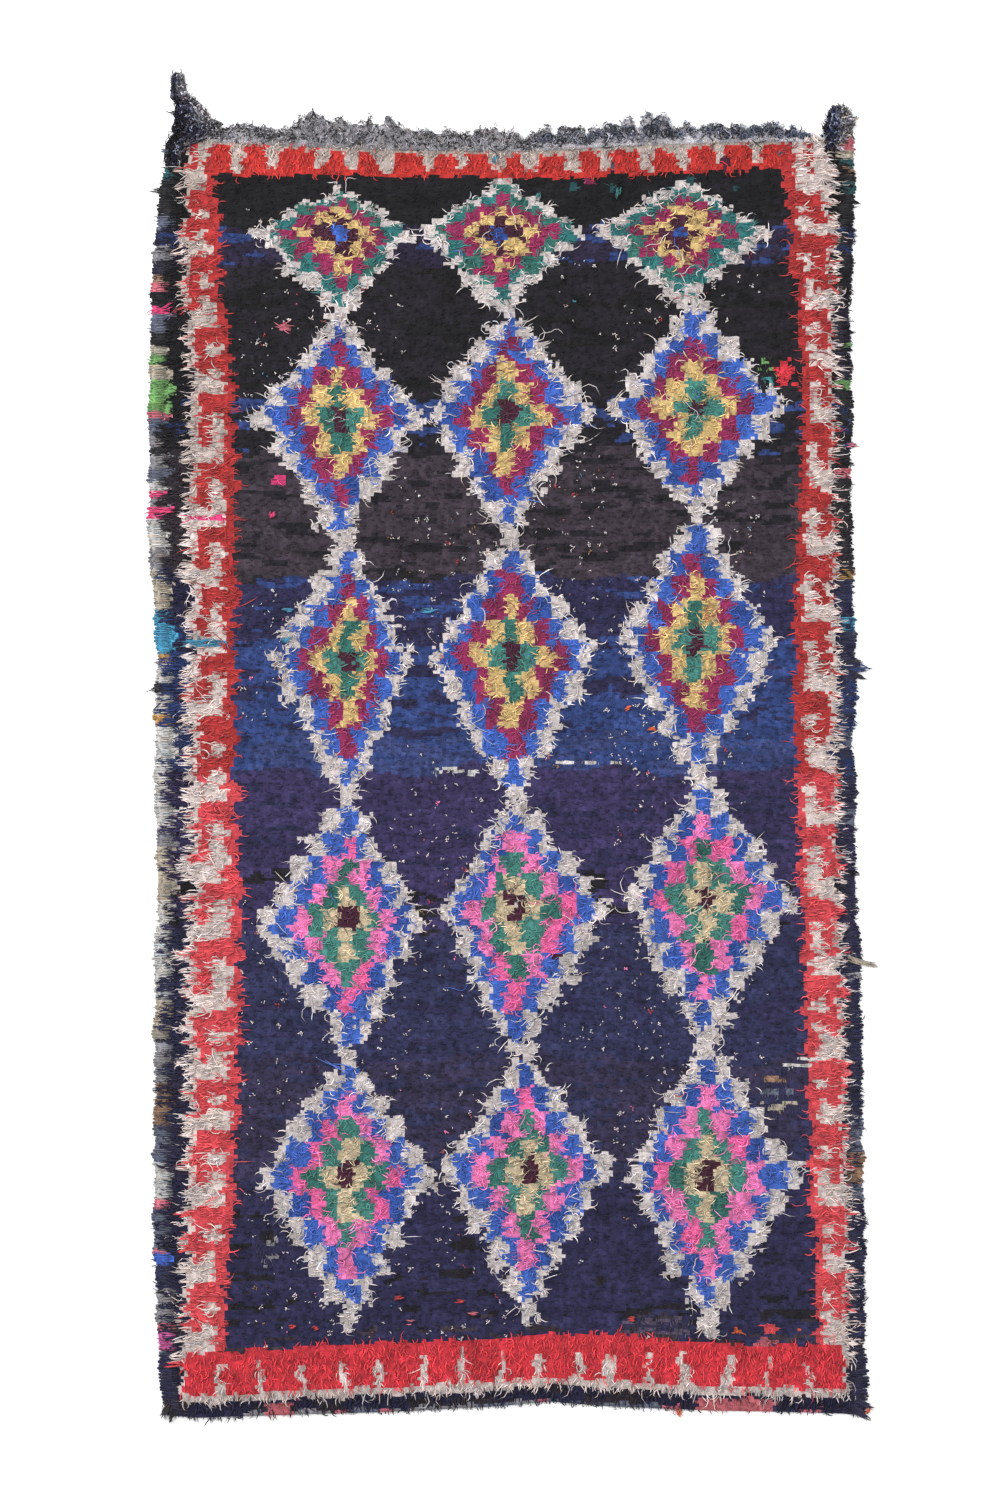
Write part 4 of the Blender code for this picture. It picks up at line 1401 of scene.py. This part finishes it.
# %% The loops of the frayed top
LOOPS = {"threads": 120, "from": 60, "to": 575, "length": (30, 52)}
LOOP_YARN = straight_yarn([0.9, 1.0, 1.0, 1.0, 1.0, 1.0, 1.0, 1.0, 0.9, 0])
x = rng.uniform(LOOPS["from"], LOOPS["to"], LOOPS["threads"])
reach = read(FRINGE_REACH, "across", x, "reach")
base = top_edge(x) + reach * rng.uniform(0.1, 0.55, len(x))
length = rng.uniform(*LOOPS["length"], len(x)) * np.clip(reach / 50, 0.5, 1.2)
turn = np.where(rng.random(len(x)) < 0.5, 1, -1) * rng.uniform(4.5, 7, len(x))
paths = wandering_paths(x, base, math.pi / 2 - turn / 3, length, 10, 0.25, turn, 7, 12)
shares = rng.choice([0.25, 0.6, 1.5], len(x))[:, None]
light = tint(YARN_LIGHT[yarn("slate")] * shares, 0.15)
wide = rng.uniform(2.2, 3.0, len(x)) * MM
yarn_mesh("fringe_loops", LOOP_YARN, paths, wide, light, "frayed_warp", dark_wool)

# %% [markdown]
# The warps at both top corners were gathered into a tail. A tail is a bundle: all its threads follow one
# middle line, spread as wide as the bundle is there, and stop at different places so that it thins towards
# the tip. The line is a table of places up the tail, and a list gives its yarns from left to right.

# %% The sizes of the corner tails
TAILS = {  # a row is Y and X of the middle line and half the width there, in millimetres
    "corner_tail_left": {
        "rows": [
            (1104, -630, 14), (1126, -632, 17), (1143, -628, 20), (1160, -596, 42), (1177, -584, 49),
            (1187, -588, 43), (1197, -598, 33), (1214, -602, 28), (1230, -610, 21), (1248, -623, 12),
            (1284, -624, 10),
        ],
        "yarns": ["black", "jet", "charcoal", "night", "slate", "charcoal", "slate", "grey", "grey"],
        "paler_up": 0.45,
        "threads": 420,
    },
    "corner_tail_right": {
        "rows": [
            (1136, 626, 11), (1154, 627, 15), (1166, 632, 28), (1183, 635, 26), (1196, 636, 23),
            (1207, 635, 18), (1221, 634, 8),
        ],
        "yarns": ["black", "night", "slate", "navy", "slate", "grey", "cream", "grey"],
        "paler_up": 0.25,
        "threads": 220,
    },
}
TAIL_THICK = 11  # millimetres
TAIL_FRIZZ = 520  # short curls that stand out of one tail
FRIZZ_SHADES = {"times": [0.25, 1.0, 3.2], "shares": [0.35, 0.3, 0.35]}
LONG_THREAD = straight_yarn([0.9, 1.0, 1.0, 1.0, 0.9, 0.8, 0.7, 0])
for name, facts in TAILS.items():
    print(name, "is", facts["rows"][-1][0] - facts["rows"][0][0], "mm long")

# %% [markdown]
# Each thread begins somewhere along the line and ends further up. Where it lies across the tail decides its
# yarn and how high it may lie, so the bundle is round. Short curls stand out of it, because frayed wool
# never lies smooth, and they are a piece of their own.

# %% The corner tails
for name, facts in TAILS.items():
    rows = np.array(facts["rows"], float)
    places = np.arange(len(rows))
    count = facts["threads"]
    offset = rng.uniform(-1.08, 1.08, count)[:, None].clip(-1, 1)
    level = rng.uniform(0, 1, count)[:, None] * np.sqrt(1 - offset ** 2)
    begin = rng.uniform(0, 0.85, count)[:, None]
    finish = np.minimum(begin + rng.uniform(0.12, 0.5, count)[:, None], 1.02)
    share = begin + (finish - begin) * np.linspace(0, 1, 8)[None]
    at = share * (len(rows) - 1)
    middle_y, middle_x, half = (np.interp(at, places, rows[:, column]) for column in range(3))
    waves = rng.uniform(10, 40, count)[:, None]
    curl = 3.6 * np.sin(share * waves + rng.uniform(0, 6.3, count)[:, None])
    stray = rng.normal(size=(count, 1)) * 5 * np.abs(offset) ** 3 * (np.linspace(0, 1, 8) ** 2)[None]
    tufted = 0.92 + 0.3 * smooth_noise(40 * np.sign(offset) + 0 * middle_y, middle_y, 9, 48)
    path_x = middle_x + offset * half * tufted + curl + stray
    path_y = middle_y + 2 * rng.normal(size=(count, 1))
    path_z = 1.2 + level * TAIL_THICK * (1 - 0.35 * share)
    paths = np.stack([path_x * MM, path_y * MM, path_z * MM], axis=2)
    dyes = np.array([YARN_LIGHT[yarn(one)] for one in facts["yarns"]])
    beside = (offset[:, 0] + 1) / 2 + facts["paler_up"] * (begin[:, 0] - 0.3) + 0.2 * rng.normal(size=count)
    light = tint(dyes[(np.clip(beside, 0, 0.99) * len(dyes)).astype(int)], 0.3)
    wide = rng.uniform(1.8, 3.0, count) * MM
    tail = yarn_mesh(name + "_threads", LONG_THREAD, paths, wide, light, "frayed_warp", dark_wool)
    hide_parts(name)
    at = rng.random(TAIL_FRIZZ) ** 0.8 * (len(rows) - 1)
    middle_y, middle_x, half = (np.interp(at, places, rows[:, column]) for column in range(3))
    beside = rng.random(TAIL_FRIZZ)
    x = middle_x + half * (2 * beside - 1)
    beside = beside + facts["paler_up"] * (at / (len(rows) - 1) - 0.3) + 0.15 * rng.normal(size=TAIL_FRIZZ)
    heading = math.pi / 2 - 0.5 + 1.3 * rng.normal(size=TAIL_FRIZZ)
    length = rng.uniform(10, 26, TAIL_FRIZZ) * np.clip(0.45 + half / 40, 0, 1)
    turn = 2 * rng.normal(size=TAIL_FRIZZ)
    paths = wandering_paths(x, middle_y, heading, length, 5, 1.7, turn, 7, 15)
    mixed = dyes[(np.clip(beside, 0, 0.99) * len(dyes)).astype(int)]
    mixed = mixed * rng.choice(FRIZZ_SHADES["times"], TAIL_FRIZZ, p=FRIZZ_SHADES["shares"])[:, None]
    wide = rng.uniform(1.6, 2.6, TAIL_FRIZZ) * MM
    yarn_mesh(name + "_frizz", WANDERING_YARN, paths, wide, tint(mixed, 0.2), "frayed_warp", dark_wool)

# %% [markdown]
# Along both sides the thick wefts turn round the outermost warps. One turn is a yarn bent like a hairpin,
# and a stack of them, each in the yarn of its own band, makes the selvage.

# %% The weft turns of the selvages
TURN = {"from": -1266, "to": 1156, "pitch": 6.0, "inside": 34, "thick": (3.0, 4.4), "apart": 1.7}
TURN_HEIGHT = (2.2 * MM, 9 * MM)
HAIRPIN = straight_yarn([0.9, 1.0, 1.0, 1.0, 1.0, 1.0, 0.9, 0])
hairpin_in = np.array([1.0, 0.5, 0.06, -0.05, -0.05, 0.06, 0.5, 1.0])
hairpin_up = np.array([-1.0, -1.0, -1.0, -0.4, 0.4, 1.0, 1.0, 1.0])
paths, widths, light = [], [], []
for side, inwards in (("left", 1), ("right", -1)):
    y = np.arange(TURN["from"], TURN["to"], TURN["pitch"])
    y = y + rng.uniform(-1, 1, len(y))
    edge = read(SIDES, "along", y, side) - inwards * (2 + 5 * smooth_noise(y, 0 * y, 30, 51))
    edge = edge + 1.5 * rng.normal(size=len(y))
    path_x = edge[:, None] + inwards * TURN["inside"] * hairpin_in[None]
    path_y = y[:, None] + TURN["apart"] * hairpin_up[None]
    path_z = ground_height(path_x, path_y) * (np.abs(hairpin_in) > 0.3) + 2.6 * MM + 0.4 * MM * hairpin_up
    path_z = np.clip(path_z, *TURN_HEIGHT)
    paths.append(np.stack([path_x * MM, path_y * MM, path_z], axis=2))
    widths.append(rng.uniform(*TURN["thick"], len(y)) * MM)
    light.append(tint(YARN_LIGHT[selvage_yarn(side, y)], 0.14))
joined = [np.concatenate(values) for values in (paths, widths, light)]
yarn_mesh("weft_turns", HAIRPIN, *joined)

# %% [markdown]
# Bare cloth isn't smooth: fibres of its wefts stand up as fuzz. Short ends do for this, pointing off the
# rug at the sides and down at the bottom, each in the yarn of the knot where it stands.

# %% Fuzz on the bare selvages
AT_SIDE = 560  # further out than this X the fuzz points sideways
picked = np.flatnonzero(knot_zone == zone("bare"))
x = knot_x[picked] + rng.uniform(-4, 4, len(picked))
y = knot_y[picked] + rng.uniform(-6, 6, len(picked))
outwards = np.where(np.abs(x) > AT_SIDE, np.where(x < 0, math.pi, 0), -math.pi / 2)
outwards = outwards + 0.35 * rng.normal(size=len(x))
length = rng.uniform(6, 15, len(x))
paths = bent_paths(x, y, x + np.cos(outwards) * length, y + np.sin(outwards) * length, 2.5, 3)
paths[:, :, 2] += 1.5 * MM
light = tint(YARN_LIGHT[knot_yarn[picked]], 0.2)
yarn_mesh("selvage_fuzz", SHORT_YARN, paths, rng.uniform(1.8, 2.8, len(x)) * MM, light)

# %% [markdown]
# Years of use leave their marks. The first are white ends of old wefts that poke through the dark field.
# More places are tried than are needed, and only those in the field are kept, more in some parts than in
# others. A speck is one end or a small bunch.

# %% Specks in the field
SPECKS = {
    "count": 760,
    "across": (0.12, 0.88),
    "along": (0.05, 0.95),
    "yarns": ["ivory"] * 30 + ["rose", "red", "pink", "turquoise", "ochre"],
}
tried = SPECKS["count"] * 4
speck_across = rng.uniform(*SPECKS["across"], tried)
x, y = cloth_point(speck_across, rng.uniform(*SPECKS["along"], tried))
crowd = smooth_noise(x, y, 130, 61) + 0.5 * smooth_noise(x, y, 30, 62) - 0.35 * (y > 550)
chosen = np.flatnonzero((pattern(x, y)[1] == zone("field")) & (crowd > -0.1))[: SPECKS["count"]]
each = rng.choice([1, 1, 1, 2, 3, 6], len(chosen))
x = np.repeat(x[chosen], each) + 2.0 * rng.normal(size=each.sum())
y = np.repeat(y[chosen], each) + 1.4 * rng.normal(size=each.sum())
heading = rng.uniform(0, 2 * math.pi, len(x))
length = rng.uniform(2.5, 6.5, len(x))
paths = bent_paths(x, y, x + np.cos(heading) * length, y + np.sin(heading) * length, 5.5, 3)
paths[:, :, 2] += 2.5 * MM
dyes = np.array([yarn(one) for one in SPECKS["yarns"]])
light = tint(YARN_LIGHT[np.repeat(dyes[rng.integers(0, len(dyes), len(each))], each)], 0.12)
yarn_mesh("specks", SHORT_YARN, paths, rng.uniform(1.4, 2.6, len(x)) * MM, light)

# %% [markdown]
# Then there are scraps: bright and pale threads that were knotted in, and dark tufts that hang out at the
# corners and edges. Each has a place and a heading in the table, and is a small bundle of near parallel
# yarns.

# %% Scraps
SCRAPS = records(  # middle and half length in mm, heading in degrees, threads, yarn
    "x y half heading threads yarn",
    (-572, 197, 36, 0, 8, "turquoise"),
    (-670, 112, 14, 200, 6, "black"),
    (-443, 442, 7, 60, 9, "hot_pink"),
    (-655, 448, 26, 4, 12, "hot_pink"),
    (-653, 835, 22, 20, 7, "hot_pink"),
    (-413, 262, 9, 0, 8, "turquoise"),
    (-415, 205, 10, 10, 9, "turquoise"),
    (-145, 258, 16, 0, 7, "turquoise"),
    (233, 75, 7, 30, 6, "orange"),
    (278, 35, 8, 0, 7, "orange"),
    (-406, -1100, 6, 0, 6, "red"),
    (-360, -1100, 6, 20, 6, "red"),
    (240, -1088, 8, 0, 7, "red"),
    (-200, -1045, 9, 10, 7, "red"),
    (-85, -1052, 8, 0, 6, "red"),
    (-60, -1075, 9, 0, 6, "rose"),
    (-180, -1092, 7, 0, 5, "rose"),
    (664, 1196, 10, 40, 6, "cream"),
    (331, -1268, 9, 300, 7, "orange"),
    (-312, -607, 42, -18, 3, "blue"),
    (-645, 1133, 12, 160, 16, "slate"),
    (-655, 1058, 17, 175, 15, "black"),
    (664, 161, 15, 12, 14, "indigo"),
    (674, 150, 19, -5, 18, "mid_navy"),
    (668, 137, 16, -22, 16, "indigo"),
    (684, -1250, 17, -25, 22, "night"),
    (680, -1270, 18, -38, 22, "night"),
    (-648, -1262, 13, 232, 20, "charcoal"),
    (-634, -1271, 13, 252, 22, "black"),
    (-20, 1120, 8, 80, 5, "turquoise"),
    (215, 1056, 9, 70, 7, "teal"),
    (60, 1047, 7, 80, 5, "teal"),
    (680, -409, 25, -15, 26, "cream"),
    (572, 1158, 9, 75, 7, "warm_ivory"),
    (590, 1160, 10, 110, 7, "warm_ivory"),
    (606, 1160, 9, 60, 7, "old_ivory"),
    (662, 575, 9, 0, 6, "rose"),
    (655, 765, 9, 0, 6, "grass"),
    (690, -1262, 9, 60, 6, "orange"),
)
x, y, heading, half, dyes = [], [], [], [], []
for scrap in SCRAPS:
    angle = math.radians(scrap["heading"])
    aside = 2.3 * rng.normal(size=scrap["threads"])
    slide = 0.35 * scrap["half"] * rng.normal(size=scrap["threads"])
    x.append(scrap["x"] - math.sin(angle) * aside + math.cos(angle) * slide)
    y.append(scrap["y"] + math.cos(angle) * aside + math.sin(angle) * slide)
    heading.append(angle + 0.15 * rng.normal(size=scrap["threads"]))
    half.append(np.full(scrap["threads"], scrap["half"] * 0.8))
    dyes.append(np.full(scrap["threads"], yarn(scrap["yarn"])))
x, y, heading, half, dyes = (np.concatenate(values) for values in (x, y, heading, half, dyes))
off_x, off_y = np.cos(heading) * half, np.sin(heading) * half
paths = bent_paths(x - off_x, y - off_y, x + off_x, y + off_y, 6, 4, bow=0.06)
paths[:, :, 2] += 2.5 * MM
yarn_mesh("scraps", MIDDLE_YARN, paths, rng.uniform(2.2, 3.2, len(x)) * MM, tint(YARN_LIGHT[dyes], 0.14))

# %% [markdown]
# Last, long thin threads that have come undone curl over the pile of the lozenges.

# %% Loose threads
LOOSE = {"ivory": 100, "blue": 12, "pink": 5, "black": 16, "night": 12, "red": 7}
CURLED_YARN = straight_yarn([0.8, 1.0, 1.0, 1.0, 1.0, 1.0, 0.9, 0.8, 0])
dyes = np.concatenate([np.full(count, yarn(name)) for name, count in LOOSE.items()])
lozenge_knots = np.flatnonzero(knot_zone == zone("lozenge"))
start = lozenge_knots[rng.integers(0, len(lozenge_knots), len(dyes))]
turn = rng.normal(size=len(dyes)) * 2.2
heading = rng.uniform(0, 2 * math.pi, len(dyes))
length = rng.uniform(22, 62, len(dyes))
paths = wandering_paths(knot_x[start], knot_y[start], heading, length, 9, 0.5, turn, 3, 8)
wide = rng.uniform(1.1, 1.7, len(dyes)) * MM
yarn_mesh("loose_threads", CURLED_YARN, paths, wide, tint(YARN_LIGHT[dyes], 0.1))

# %% [markdown]
# The rug is photographed flat from straight above, on a pale floor under soft light. A long lens keeps its
# edges straight. The light comes from two large soft panels and a pale sky, so it has almost no shadow.

# %% The camera, the floor and the light
CAMERA = {"x": -0.0095, "y": -0.00475, "distance": 6.73, "above": 0.018, "lens": 85}
scene = bpy.context.scene
camera = bpy.data.objects.new("camera", bpy.data.cameras.new("camera"))
camera.location = (CAMERA["x"], CAMERA["y"], CAMERA["distance"] + CAMERA["above"])
camera.data.lens = CAMERA["lens"]
camera.data.clip_end = 60
scene.collection.objects.link(camera)
scene.camera = camera
scene.view_settings.view_transform = "Standard"

bm = bmesh.new()
bmesh.ops.create_grid(bm, x_segments=1, y_segments=1, size=9)
floor = object_from("pale_floor", bm)
pale = bpy.data.materials.new("pale_floor")
pale.use_nodes = True
pale.node_tree.nodes["Principled BSDF"].inputs["Base Color"].default_value = (0.93, 0.93, 0.93, 1)
pale.node_tree.nodes["Principled BSDF"].inputs["Roughness"].default_value = 0.9
floor.data.materials.append(pale)

PANELS = records(
    "name at size watts",
    ("left_panel", (-3.2, 2.2, 4.2), 2.4, 345),
    ("right_panel", (3.4, -0.6, 4.6), 3.5, 172),
)
for facts in PANELS:
    lamp = bpy.data.lights.new(facts["name"], "AREA")
    lamp.size = facts["size"]
    lamp.energy = facts["watts"]
    panel = bpy.data.objects.new(facts["name"], lamp)
    panel.location = facts["at"]
    panel.rotation_euler = (-Vector(facts["at"])).to_track_quat("-Z", "Y").to_euler()
    scene.collection.objects.link(panel)
world = bpy.data.worlds.new("pale_sky")
world.use_nodes = True
world.node_tree.nodes["Background"].inputs["Color"].default_value = (1, 1, 1, 1)
world.node_tree.nodes["Background"].inputs["Strength"].default_value = 0.66
scene.world = world
print("camera at", [round(value, 3) for value in camera.location])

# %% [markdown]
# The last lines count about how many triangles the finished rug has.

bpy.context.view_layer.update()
total = sum(len(piece.data.polygons) for piece in all_pieces) + 2 * len(ground.data.polygons)
print("about", total, "triangles in all")
